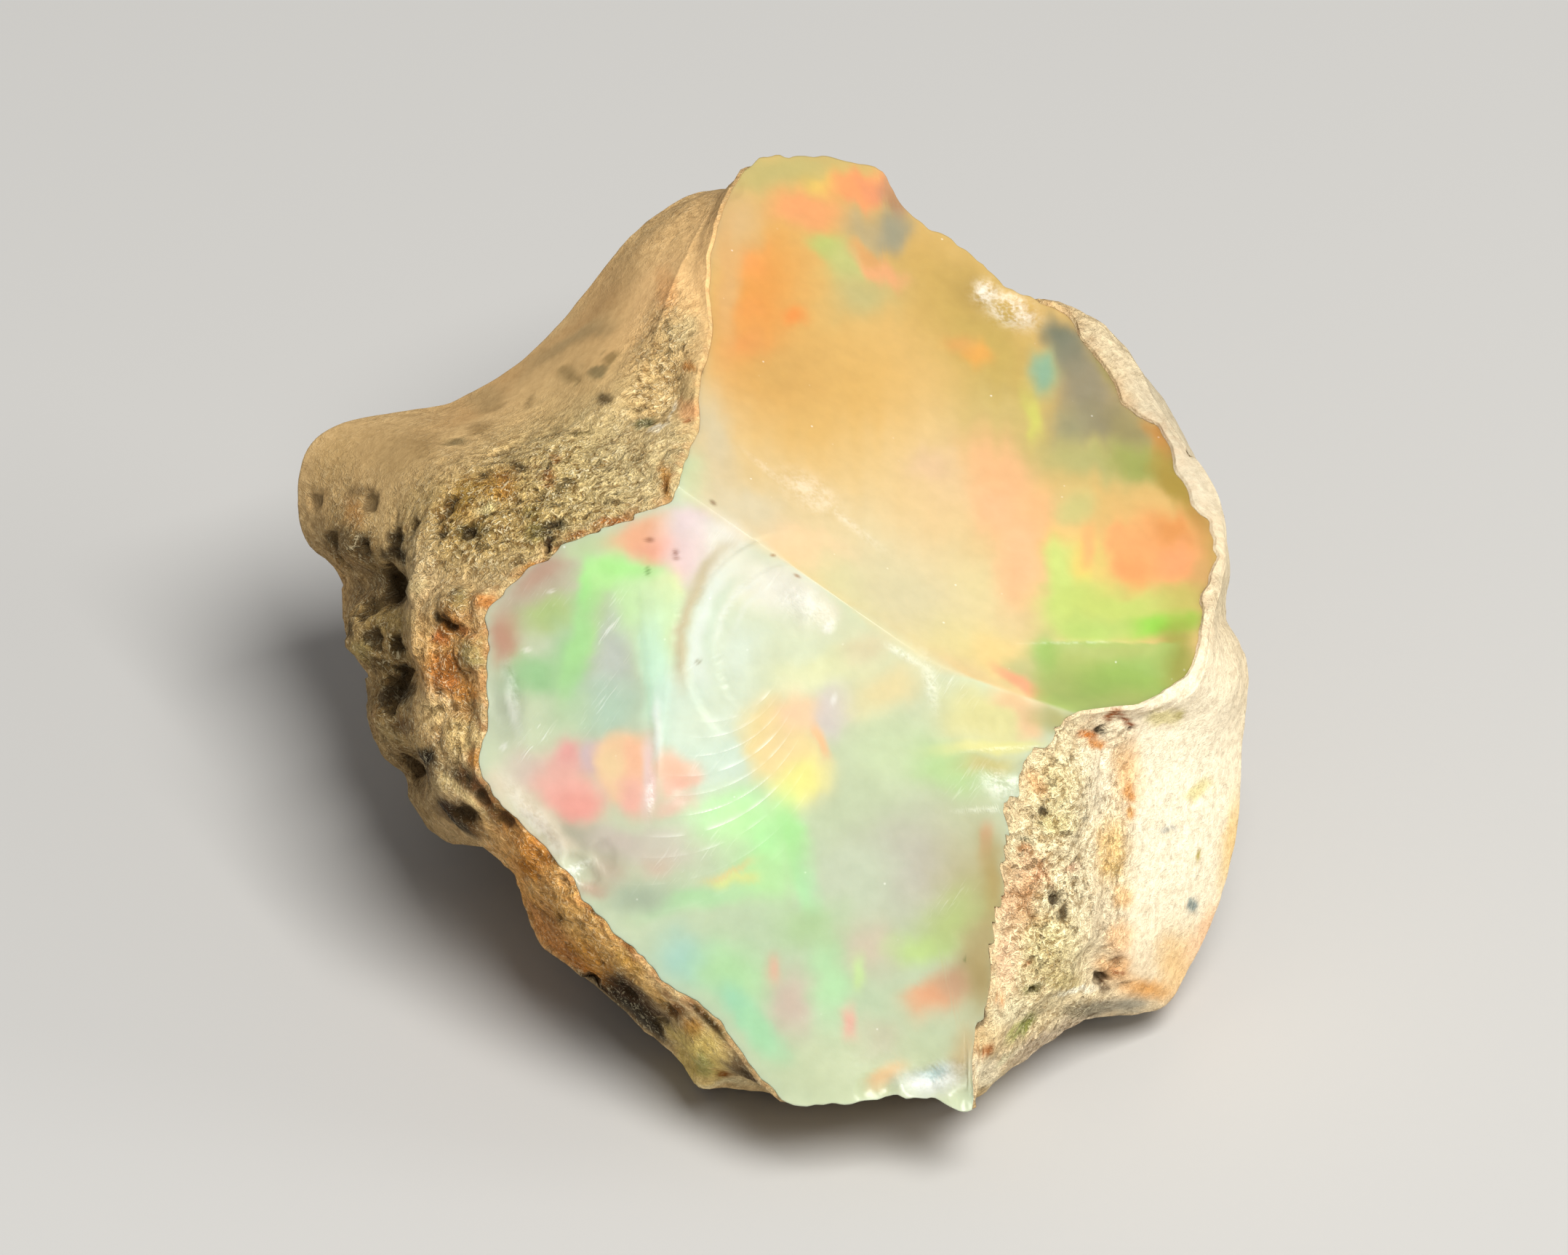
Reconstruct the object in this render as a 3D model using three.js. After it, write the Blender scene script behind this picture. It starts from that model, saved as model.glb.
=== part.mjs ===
import * as THREE from "three";
import { mergeVertices } from "three/addons/utils/BufferGeometryUtils.js";

// A broken nodule of precious opal in its tan rhyolite matrix. Lengths are in millimetres.
// The stone is drawn in the frame of its broken face: x runs right along the face, y runs up
// along it and z stands out of it. The finished stone then leans back onto its resting facet.

// How the stone lies
const FACE_LEAN = THREE.MathUtils.degToRad(50); // the broken face looks this far above the horizon
const FACET_DEPTH = 9.0; // the resting facet lies this far below the middle of the stone
const FACET_CENTRE = { x: 1.0, y: -1.1 }; // middle of the facet, which is the part's origin

// The hub is a point on the ridge between the two fracture faces. Every ring is measured round it.
const HUB = { x: 2.24, y: 0.5 };
const HUB_HEIGHT = 7.7;

// Fracture faces: the lower one looks straight out, the upper one falls away behind the ridge
const LOWER_SLOPE = { x: 0.02, y: 0.06 };
const RIDGE_SLOPE = 0.7; // fall of the ridge from left to right
const RIDGE_BEND = { x: 2.3, slope: 0.375, round: 0.8 }; // right of here the ridge runs flatter
const UPPER_CROWN = 0.004; // how fast the upper face rounds off away from its middle
const UPPER_MIDDLE = { x: 4.5, y: 5.5 };
const LEFT_STEP = { x: -3.14, slope: 0.15 }; // left of here the lower face turns away
const BEVEL = { y: -0.37, x: 6.2, ramp: 1.6, slope: 0.75, round: 0.15 }; // at the right corner
const SCARS = [
  { x: 0.3, y: 0.1, radius: 2.1, depth: 0.3 }, // bulb scar under the ridge
  { x: -1.5, y: -3.6, radius: 2.6, depth: 0.22 }, // rippled trough
  { x: 5.6, y: -2.6, radius: 1.1, depth: 0.35 }, // small flake under the right end of the ridge
  { x: 3.2, y: -10.6, radius: 2.8, depth: 0.3 }, // hollow above the bottom edge
];

// The opal body under the faces
const OPAL_BOTTOM = { x: 2.0, y: 3.2, z: -7.4 };
const OPAL_ROUNDNESS = 2.6; // 2 is an ellipse, more is squarer
const OPAL_LEAN = 0.3; // the wall of the opal draws in this much for each mm of depth
const CONTACT_GAP = 0.25; // clearance between the opal and the matrix round it
const CONTACT_DROPS = [
  { from: 57.5, to: 104, depth: 2.2, ramp: 8 }, // top edge, where opal is the skin of the stone
  { from: 260.5, to: 284.5, depth: 1.5, ramp: 6 }, // bottom edge
];

// The matrix
const BACK_POLE = { x: 1.6, y: -1.6, z: -10.6 };
const BACK_ROUNDNESS = 2.5; // 2 is an ellipse, more is squarer
const BACK_FLATS = [
  { x: 0.75, y: 0.35, z: -0.56, reach: 12.5 },
  { x: -0.72, y: 0.3, z: -0.63, reach: 10.6 },
  { x: -0.5, y: -0.62, z: -0.6, reach: 9.8 },
  { x: 0.62, y: -0.5, z: -0.6, reach: 10.8 },
  { x: 0, y: 0.2, z: -0.98, reach: 10.6 },
];
const FLANK_BULGE = 0.5; // the right flank bellies out, the left one is hollow
const LUMP_SIZE = 0.4;
const EQUATOR_CALM = { spread: 0.55, left: 0.08 }; // the lumps are low round the widest line
const PITS = [
  { x: -11.0, y: 1.2, radius: 1.0, depth: 0.7 },
  { x: -10.8, y: -1.4, radius: 1.1, depth: 0.7 },
  { x: -9.9, y: -3.9, radius: 1.0, depth: 0.6 },
  { x: 9.1, y: -9.5, radius: 1.0, depth: 0.4 },
  { x: -8.84, y: 0.5, radius: 1.1, depth: -0.4 }, // a knob, not a pit
];

// Edge of the opal where the faces end, as x and y
const WINDOW_EDGE = [
  [11.76, 0.26], [11.96, 1.26], [12.26, 2.46], [12.05, 3.5], [11.56, 4.46], [10.76, 5.66], [9.8, 6.2],
  [9.46, 6.86], [8.86, 7.66], [7.96, 8.8], [6.46, 9.5], [5.76, 10.26], [4.56, 11.06], [3.66, 11.76],
  [3.06, 12.74], [1.76, 13.06], [-0.24, 13.04], [-1.14, 12.16], [-1.64, 10.66], [-1.74, 9.46],
  [-1.64, 8.26], [-1.94, 6.86], [-2.04, 5.46], [-2.48, 4.26], [-2.8, 3.4], [-3.84, 2.96], [-5.64, 2.26],
  [-7.14, 1.06], [-7.8, 0.26], [-7.88, -1.24], [-7.76, -2.64], [-8.04, -3.74], [-7.54, -4.64],
  [-6.64, -5.54], [-5.44, -6.94], [-4.64, -8.04], [-3.64, -8.94], [-2.64, -9.94], [-1.54, -10.64],
  [-0.44, -12.14], [0.56, -13.0], [2.76, -12.86], [4.36, -12.84], [5.46, -13.14], [5.46, -11.74],
  [5.76, -10.74], [6.0, -8.74], [6.32, -7.14], [6.42, -5.54], [6.82, -4.54], [7.36, -3.24],
  [8.36, -2.3], [9.96, -2.04], [11.26, -1.34],
];

// Crease of the matrix between its broken rim and its flanks, as x, y and z
const SHOULDER = [
  [12.12, 0.3, 3.6], [12.5, 2.9, 0.8], [11.3, 5.7, -0.9], [10.15, 7.1, -1.8], [8.1, 8.85, -3.4],
  [5.0, 9.3, -6.2], [2.2, 11.2, -6.6], [-1.0, 12.2, -3.2], [-2.1, 11.1, -0.7], [-2.9, 9.5, 1.2],
  [-3.4, 7.8, 2.6], [-4.2, 6.6, 3.5], [-5.2, 5.4, 3.9], [-7.0, 4.6, 3.7], [-8.8, 4.3, 2.7],
  [-9.4, 3.4, 3.2], [-9.8, 2.2, 4.0], [-9.9, 0.9, 4.8], [-10.0, -0.7, 5.2], [-9.7, -2.2, 5.2],
  [-9.1, -3.6, 5.1], [-8.4, -4.9, 5.3], [-7.3, -5.8, 5.6], [-6.4, -7.1, 5.6], [-5.3, -8.7, 5.5],
  [-3.8, -10.0, 5.5], [-2.7, -10.9, 5.5], [-1.5, -12.0, 5.6], [0.5, -12.85, 5.0], [2.7, -12.7, 4.9],
  [4.9, -12.85, 4.9], [6.9, -10.6, 5.8], [8.6, -9.0, 5.6], [8.8, -7.0, 5.6], [8.85, -4.8, 5.6],
  [9.0, -3.2, 5.7], [10.0, -2.5, 5.3], [11.6, -1.7, 4.6],
];

// Widest line of the stone as it is seen from the front of the face, as x, y and z
const EQUATOR = [
  [12.55, 0.3, 0.4], [12.7, 1.86, -1.0], [12.46, 3.26, -1.6], [11.76, 4.76, -2.4], [10.86, 6.46, -3.2],
  [9.76, 7.66, -4.0], [8.6, 8.36, -4.6], [7.2, 8.7, -6.2], [5.1, 9.4, -7.4], [2.2, 11.4, -7.8],
  [-0.2, 12.3, -6.2], [-2.24, 12.06, -3.6],
  [-3.84, 10.96, -3.0], [-5.04, 9.56, -2.8], [-6.04, 8.36, -2.6], [-7.24, 7.26, -2.6],
  [-9.04, 6.26, -2.6], [-10.64, 6.0, -2.4], [-12.24, 5.6, -2.2], [-13.08, 4.66, -2.2],
  [-13.04, 2.56, -3.0], [-12.14, 1.56, -3.6], [-12.04, 0.26, -4.0], [-11.54, -1.34, -4.0],
  [-11.24, -2.94, -4.0], [-10.54, -4.14, -4.0], [-9.84, -5.34, -3.8], [-9.1, -5.95, -3.0],
  [-7.84, -6.1, 0.4], [-7.24, -6.6, 2.0], [-6.84, -7.54, 2.6], [-6.44, -8.64, 2.8],
  [-5.64, -9.34, 3.0], [-4.64, -10.04, 3.0], [-3.44, -11.14, 3.2], [-2.54, -11.94, 3.6],
  [-2.04, -12.68, 4.2], [-1.24, -12.64, 4.0], [0.56, -12.9, 3.6], [2.76, -12.75, 3.6],
  [4.36, -12.75, 3.6], [5.46, -12.95, 3.8], [6.26, -12.34, 3.6], [7.36, -11.54, 3.0],
  [8.76, -10.78, 2.0], [10.76, -10.5, 0.6], [11.42, -9.64, 0.2], [12.52, -7.14, 0.0],
  [12.9, -5.34, 0.0], [13.0, -3.34, 0.2], [13.16, -1.54, 0.6], [13.0, -0.6, 0.6],
];

// Fineness of the facets
const UPPER_COLUMNS = 46; // columns that cross the upper face
const LOWER_COLUMNS = 50;
const OPAL_ROWS = { face: 13, wall: 8 };
const MATRIX_ROWS = { cavity: 6, rim: 3, flank: 6, back: 10 };

const TURN = 2 * Math.PI;

// A closed ring through the points, read as radius and height against the angle round the hub.
// Between two points a cubic keeps the slope continuous.
function makeRing(points) {
  const knots = points
    .map(([x, y, z = 0]) => ({
      angle: (Math.atan2(y - HUB.y, x - HUB.x) + TURN) % TURN,
      radius: Math.hypot(x - HUB.x, y - HUB.y),
      height: z,
    }))
    .sort((a, b) => a.angle - b.angle);
  const count = knots.length;
  const at = (i) => {
    const turns = Math.floor(i / count);
    const knot = knots[i - turns * count];
    return { ...knot, angle: knot.angle + turns * TURN };
  };
  const slope = (i, key) => (at(i + 1)[key] - at(i - 1)[key]) / (at(i + 1).angle - at(i - 1).angle);
  return (angle, key) => {
    const wrapped = ((angle % TURN) + TURN) % TURN;
    let i = -1;
    while (at(i + 1).angle <= wrapped) i += 1;
    const span = at(i + 1).angle - at(i).angle;
    const t = (wrapped - at(i).angle) / span;
    const rise = t * t * (3 - 2 * t);
    return (
      at(i)[key] * (1 - rise) +
      at(i + 1)[key] * rise +
      span * t * (1 - t) * ((1 - t) * slope(i, key) - t * slope(i + 1, key))
    );
  };
}

const windowEdge = makeRing(WINDOW_EDGE);
const shoulder = makeRing(SHOULDER);
const equator = makeRing(EQUATOR);

function smoothRamp(t) {
  const held = THREE.MathUtils.clamp(t, 0, 1);
  return held * held * (3 - 2 * held);
}

// Zero below zero and t above it, with the corner rounded
function roundedStep(t, round) {
  return (t + Math.hypot(t, round)) / 2;
}

// Height of the broken face: the lower of the two fracture faces, with the flake scars in it
function faceHeight(x, y) {
  const dx = x - HUB.x;
  const dy = y - HUB.y;
  const bent = roundedStep(dx - RIDGE_BEND.x, RIDGE_BEND.round) - roundedStep(-RIDGE_BEND.x, RIDGE_BEND.round);
  const pastRidge = dy + RIDGE_SLOPE * dx - RIDGE_BEND.slope * bent;
  const bevel =
    BEVEL.slope * roundedStep(BEVEL.y - y, BEVEL.round) * smoothRamp((x - BEVEL.x) / BEVEL.ramp);
  const crown = UPPER_CROWN * ((x - UPPER_MIDDLE.x) ** 2 + (y - UPPER_MIDDLE.y) ** 2);
  const plain = HUB_HEIGHT + LOWER_SLOPE.x * dx + LOWER_SLOPE.y * dy;
  const upper = plain - pastRidge - bevel - crown;
  let lower = plain - LEFT_STEP.slope * Math.max(0, LEFT_STEP.x - x);
  for (const scar of SCARS) {
    const reach = Math.hypot(x - scar.x, y - scar.y) / scar.radius;
    lower -= scar.depth * Math.max(0, 1 - reach * reach) ** 1.5;
  }
  return Math.min(upper, lower);
}

// How far below the face the matrix meets the opal: nothing, except where the opal is the skin
function contactDrop(angle) {
  const degrees = (THREE.MathUtils.radToDeg(angle) + 720) % 360;
  return CONTACT_DROPS.reduce(
    (sum, { from, to, depth, ramp }) =>
      sum + depth * smoothRamp((degrees - from) / ramp) * smoothRamp((to - degrees) / ramp),
    0,
  );
}

function onRing(angle, radius) {
  return { x: HUB.x + radius * Math.cos(angle), y: HUB.y + radius * Math.sin(angle) };
}

// Wall of the opal: from the edge of the face (t = 0) to the bottom of the opal (t = 1)
function opalWall(angle, t, gap) {
  const radius = windowEdge(angle, "radius");
  const edge = onRing(angle, radius);
  const top = faceHeight(edge.x, edge.y);
  const turn = (t * Math.PI) / 2;
  const depth = (top - OPAL_BOTTOM.z) * Math.sin(turn) ** (2 / OPAL_ROUNDNESS);
  const drawn = radius - OPAL_LEAN * depth;
  const spread = drawn * Math.cos(turn) ** (2 / OPAL_ROUNDNESS) + gap * Math.cos(turn);
  const shift = Math.sin(turn) ** 2;
  return {
    x: HUB.x + spread * Math.cos(angle) + (OPAL_BOTTOM.x - HUB.x) * shift,
    y: HUB.y + spread * Math.sin(angle) + (OPAL_BOTTOM.y - HUB.y) * shift,
    z: top - depth - gap * Math.sin(turn),
  };
}

// Share of the way down the opal wall at which the matrix begins
function contactShare(angle) {
  const edge = onRing(angle, windowEdge(angle, "radius"));
  const depth = faceHeight(edge.x, edge.y) - OPAL_BOTTOM.z;
  const sunk = (contactDrop(angle) / depth) ** (OPAL_ROUNDNESS / 2);
  return (Math.asin(sunk) * 2) / Math.PI;
}

// Natural lumps of the matrix: a few crossed waves, each finer and lower than the one before
function lumps({ x, y, z }) {
  let height = 0;
  for (let k = 0; k < 5; k += 1) {
    const pitch = 0.55 * 1.45 ** k;
    const turn = 2.4 * k + 0.7;
    const wave = Math.sin(pitch * (x * Math.cos(turn) + y * Math.sin(turn)) + 1.7 * k);
    const cross = Math.sin(pitch * (z + 0.6 * y - 0.4 * x * Math.cos(turn)) + 2.9 * k);
    height += (LUMP_SIZE * wave * cross) / 1.25 ** k;
  }
  return height;
}

function pitDepth({ x, y, z }) {
  if (z < -5) return 0;
  return PITS.reduce((sum, pit) => {
    const reach = Math.hypot(x - pit.x, y - pit.y) / pit.radius;
    return sum + pit.depth * Math.max(0, 1 - reach * reach) ** 2;
  }, 0);
}

// Outside of the matrix. t runs from the rim (0) over the shoulder (1) and the equator (2)
// to the middle of the back (3).
function matrixOutside(angle, t) {
  const rim = opalWall(angle, contactShare(angle), CONTACT_GAP);
  const rimRadius = Math.hypot(rim.x - HUB.x, rim.y - HUB.y);
  const stations = [
    { radius: rimRadius, height: rim.z },
    { radius: shoulder(angle, "radius"), height: shoulder(angle, "height") },
    { radius: equator(angle, "radius"), height: equator(angle, "height") },
  ];
  if (t <= 2) {
    const i = t <= 1 ? 0 : 1;
    const share = t - i;
    const radius = THREE.MathUtils.lerp(stations[i].radius, stations[i + 1].radius, share);
    const bulge = i * FLANK_BULGE * Math.cos(angle) * 4 * share * (1 - share);
    const height = THREE.MathUtils.lerp(stations[i].height, stations[i + 1].height, share) + bulge;
    return { ...onRing(angle, radius), z: height };
  }
  const turn = ((t - 2) * Math.PI) / 2;
  const spread = stations[2].radius * Math.cos(turn) ** (2 / BACK_ROUNDNESS);
  const sunk = Math.sin(turn) ** (2 / BACK_ROUNDNESS);
  const shift = Math.sin(turn) ** 2;
  const point = new THREE.Vector3(
    HUB.x + spread * Math.cos(angle) + (BACK_POLE.x - HUB.x) * shift,
    HUB.y + spread * Math.sin(angle) + (BACK_POLE.y - HUB.y) * shift,
    THREE.MathUtils.lerp(stations[2].height, BACK_POLE.z, sunk),
  );
  for (const flat of BACK_FLATS) {
    const outward = new THREE.Vector3(flat.x, flat.y, flat.z).normalize();
    point.addScaledVector(outward, -Math.max(0, point.dot(outward) - flat.reach));
  }
  return point;
}

// The outside with its lumps and pits, and with the flat facet that the stone rests on.
// Height above the facet is measured along the vertical of the leaning stone.
function roughOutside(angle, t) {
  const smooth = matrixOutside(angle, t);
  const fade = smoothRamp(t * 1.5);
  const calm = EQUATOR_CALM.left + (1 - EQUATOR_CALM.left) * smoothRamp(Math.abs(t - 2) / EQUATOR_CALM.spread);
  const push = fade * (calm * lumps(smooth) - pitDepth(smooth));
  const away = new THREE.Vector3(smooth.x - HUB.x, smooth.y - HUB.y, smooth.z + 1).normalize();
  const y = smooth.y + push * away.y;
  const z = smooth.z + push * away.z;
  const up = { y: Math.sin(FACE_LEAN), z: Math.cos(FACE_LEAN) };
  const lift = Math.max(0, -FACET_DEPTH - (y * up.y + z * up.z));
  return { x: smooth.x + push * away.x, y: y + lift * up.y, z: z + lift * up.z };
}

// Angle of each column. One column follows the ridge on either side of the hub.
function columnAngle(column) {
  const ridgeRight = -Math.atan(RIDGE_SLOPE);
  const ridgeLeft = ridgeRight + Math.PI;
  return column <= UPPER_COLUMNS
    ? ridgeRight + (Math.PI * column) / UPPER_COLUMNS
    : ridgeLeft + (Math.PI * (column - UPPER_COLUMNS)) / LOWER_COLUMNS;
}

// A closed skin: the rows of a sphere, from its front pole to its back pole, each moved to
// where pointAt puts it
function closedSkin(rows, pointAt) {
  const columns = UPPER_COLUMNS + LOWER_COLUMNS;
  const geometry = new THREE.SphereGeometry(1, columns, rows);
  const position = geometry.attributes.position;
  for (let i = 0; i < position.count; i += 1) {
    const row = Math.floor(i / (columns + 1));
    const column = (i % (columns + 1)) % columns;
    const { x, y, z } = pointAt(columnAngle(column), row);
    position.setXYZ(i, x, y, z);
  }
  geometry.deleteAttribute("normal");
  geometry.deleteAttribute("uv");
  const merged = mergeVertices(geometry);
  merged.computeVertexNormals();
  return merged;
}

function opalSkin() {
  const { face, wall } = OPAL_ROWS;
  return closedSkin(face + wall, (angle, row) => {
    if (row <= face) {
      const point = onRing(angle, (windowEdge(angle, "radius") * row) / face);
      return { ...point, z: faceHeight(point.x, point.y) };
    }
    return opalWall(angle, (row - face) / wall, 0);
  });
}

function matrixSkin() {
  const { cavity, rim, flank, back } = MATRIX_ROWS;
  return closedSkin(cavity + rim + flank + back, (angle, row) => {
    if (row <= cavity) {
      const begin = contactShare(angle);
      return opalWall(angle, THREE.MathUtils.lerp(1, begin, row / cavity), CONTACT_GAP);
    }
    const past = row - cavity;
    if (past <= rim) return roughOutside(angle, past / rim);
    if (past <= rim + flank) return roughOutside(angle, 1 + (past - rim) / flank);
    return roughOutside(angle, 2 + (past - rim - flank) / back);
  });
}

function opalMesh() {
  const material = new THREE.MeshStandardMaterial({ color: 0xd9cf9e, roughness: 0.18, metalness: 0 });
  const mesh = new THREE.Mesh(opalSkin(), material);
  mesh.name = "opal";
  return mesh;
}

function matrixMesh() {
  const material = new THREE.MeshStandardMaterial({ color: 0xb39c73, roughness: 0.92, metalness: 0 });
  const mesh = new THREE.Mesh(matrixSkin(), material);
  mesh.name = "matrix";
  return mesh;
}

// The stone leans back by FACE_LEAN and stands with its resting facet on the plane z = 0
const group = new THREE.Group();
group.add(opalMesh(), matrixMesh());
group.rotation.x = FACE_LEAN;
group.position.set(-FACET_CENTRE.x, -FACET_CENTRE.y, FACET_DEPTH);

export default group;
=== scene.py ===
# %% [markdown]
# # A rough Ethiopian opal in its matrix
#
# The stone is a broken nodule. Milky precious opal fills a hollow in a tan, porous rhyolite, and a
# blow has split the nodule so that two glassy fracture faces meet along a ridge.
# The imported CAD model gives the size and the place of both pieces. Here each one is made again with
# a fine surface, from the same named values, and gets the colours that make people want an opal.

# %% Frame and tools
import math

import bpy
import numpy as np
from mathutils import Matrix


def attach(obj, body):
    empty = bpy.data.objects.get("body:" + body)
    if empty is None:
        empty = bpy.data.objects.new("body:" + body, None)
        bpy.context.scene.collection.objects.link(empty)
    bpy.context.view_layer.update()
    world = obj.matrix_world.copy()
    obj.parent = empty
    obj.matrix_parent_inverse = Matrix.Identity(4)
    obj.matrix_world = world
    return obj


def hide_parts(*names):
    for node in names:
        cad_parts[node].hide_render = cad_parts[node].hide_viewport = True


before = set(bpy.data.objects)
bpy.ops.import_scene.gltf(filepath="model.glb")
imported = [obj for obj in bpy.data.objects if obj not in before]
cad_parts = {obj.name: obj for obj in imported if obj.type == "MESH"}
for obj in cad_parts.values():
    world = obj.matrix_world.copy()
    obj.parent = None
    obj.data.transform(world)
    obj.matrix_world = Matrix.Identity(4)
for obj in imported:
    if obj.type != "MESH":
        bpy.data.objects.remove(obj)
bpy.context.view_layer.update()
bpy.context.scene.view_settings.view_transform = "Standard"

# %% [markdown]
# ## The frame of the broken face
#
# Everything is drawn as one would sketch it while looking straight at the broken face: x to the
# right, y up along the face, z towards the eye, all in millimetres. At the very end the points lean
# back with the face and become metres, which is what Blender works in. Modelling in a leaning frame
# would be possible too, but then no number would be easy to measure on the stone.

# %% How the stone lies
FACE_LEAN = math.radians(50)
FACE_PLACE = (-1.0, 1.1, 9.0)  # where the middle of the stone ends up, above its resting facet
FACET_DEPTH = 9.0
MILLIMETRE = 0.001


def to_world(points):
    """Leans points of the face frame back by FACE_LEAN about x, moves them, and gives metres."""
    x, y, z = np.moveaxis(np.asarray(points, float), -1, 0)
    turned = (x, y * np.cos(FACE_LEAN) - z * np.sin(FACE_LEAN), y * np.sin(FACE_LEAN) + z * np.cos(FACE_LEAN))
    return (np.stack(turned, axis=-1) + FACE_PLACE) * MILLIMETRE


# %% [markdown]
# ## Noise
#
# Natural surfaces are never quite smooth, so almost every formula below gets a little seeded noise.
# Two kinds are enough: value noise, which is soft hills, and cells, which are scattered pits or
# grains. Both are worked out from a sine of the position, so they are the same on every run.


# %% Soft noise and scattered cells
def ramp(t):
    """0 below 0, 1 above 1, and the smooth curve 3t^2 - 2t^3 between."""
    held = np.clip(t, 0, 1)
    return held * held * (3 - 2 * held)


def stretch(value, first, rise, last, fall):
    """0 outside first and last, and 1 between them after a smooth rise and before a smooth fall."""
    return ramp((value - first) / rise) * ramp((last - value) / fall)


def hashed(lattice, seed):
    """A fixed number from 0 to 1 for each whole-number point: the fraction of a large sine."""
    wave = np.sin(lattice @ np.array([127.1, 311.7, 74.7]) + 19.19 * seed) * 43758.5453
    return wave - np.floor(wave)


def noise(points, size, seed=0):
    """Soft hills from -1 to 1: random numbers on a cubic lattice, blended by smooth ramps."""
    scaled = np.asarray(points) / size + 57.3
    base = np.floor(scaled)
    part = ramp(scaled - base)
    total = 0
    for corner in np.ndindex(2, 2, 2):
        weight = np.prod(np.where(corner, part, 1 - part), axis=-1)
        total = total + weight * hashed(base + corner, seed)
    return total * 2 - 1


def hills(points, rows):
    """Noises added up, one for each row of height, size and seed."""
    return sum(height * noise(points, size, seed) for height, size, seed in rows)


def cells(points, size, seed=0):
    """Scattered centres, one in each lattice cube: distance to the nearest, and its own number."""
    scaled = np.asarray(points) / size + 41.7
    base = np.floor(scaled)
    near = np.full(scaled.shape[:-1], 9.0)
    number = np.zeros(scaled.shape[:-1])
    for corner in np.ndindex(3, 3, 3):
        home = base + np.array(corner) - 1
        spot = home + np.stack([hashed(home, seed + k) for k in (1, 2, 3)], axis=-1)
        gap = np.linalg.norm(spot - scaled, axis=-1)
        closer = gap < near
        near = np.where(closer, gap, near)
        number = np.where(closer, hashed(home, seed + 4), number)
    return near * size, number


# %% [markdown]
# ## The outlines
#
# Three closed lines carry the whole shape: the edge of the opal window, the crease where the broken
# matrix turns into its flanks, and the widest line of the stone. They are listed point by point. A
# circle round a point on the ridge, the hub, crosses each of them once, so each line is simply a
# radius and a height that depend on one angle.

# %% Closed lines round the hub
HUB = (2.24, 0.5)
TURN = 2 * np.pi
WINDOW_EDGE = [
    (11.76, 0.26), (11.96, 1.26), (12.2, 2.2), (12.02, 2.86), (11.68, 3.4), (11.44, 3.94), (11.1, 4.42),
    (10.94, 5.0), (10.6, 5.6), (9.8, 6.1),
    (9.46, 6.86), (8.86, 7.66), (7.96, 8.8), (6.46, 9.5), (5.76, 10.26), (4.56, 11.06), (3.66, 11.76),
    (3.06, 12.74), (1.76, 13.06), (-0.24, 13.04), (-1.14, 12.16), (-1.64, 10.66), (-1.74, 9.46),
    (-1.64, 8.26), (-1.94, 6.86), (-2.04, 5.46), (-2.48, 4.26), (-2.8, 3.4), (-3.84, 2.96), (-5.64, 2.26),
    (-7.14, 1.06), (-7.8, 0.26), (-7.88, -1.24), (-7.76, -2.64), (-8.04, -3.74), (-7.54, -4.64),
    (-6.64, -5.54), (-5.44, -6.94), (-4.64, -8.04), (-3.64, -8.94), (-2.64, -9.94), (-1.54, -10.64),
    (-0.44, -12.14), (0.56, -13.0), (2.76, -12.86), (4.36, -12.84), (5.46, -13.14), (5.46, -11.74),
    (5.76, -10.74), (6.0, -8.74), (6.32, -7.14), (6.42, -5.54), (6.82, -4.54), (7.36, -3.24),
    (8.36, -2.3), (9.96, -2.04), (11.26, -1.34),
]
SHOULDER = [
    (12.12, 0.3, 3.6), (12.5, 2.9, 0.8), (11.3, 5.7, -0.9), (10.15, 7.1, -1.8), (8.1, 8.85, -3.4),
    (5.0, 9.3, -6.2), (2.2, 11.2, -6.6), (-1.0, 12.2, -3.2), (-2.1, 11.1, -0.7), (-2.9, 9.5, 1.2),
    (-3.4, 7.8, 2.6), (-4.2, 6.6, 3.5), (-5.2, 5.4, 3.9), (-7.0, 4.6, 3.7), (-8.8, 4.3, 2.7),
    (-9.4, 3.4, 3.2), (-9.8, 2.2, 4.0), (-9.9, 0.9, 4.8), (-10.0, -0.7, 5.2), (-9.7, -2.2, 5.2),
    (-9.1, -3.6, 5.1), (-8.4, -4.9, 5.3), (-7.3, -5.8, 5.6), (-6.4, -7.1, 5.6), (-5.3, -8.7, 5.5),
    (-3.8, -10.0, 5.5), (-2.7, -10.9, 5.5), (-1.5, -12.0, 5.6), (0.5, -12.85, 5.0), (2.7, -12.7, 4.9),
    (4.9, -12.85, 4.9), (6.9, -10.6, 5.8), (8.6, -9.0, 5.6), (8.8, -7.0, 5.6), (8.85, -4.8, 5.6),
    (9.0, -3.2, 5.7), (10.0, -2.5, 5.3), (11.6, -1.7, 4.6),
]
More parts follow.
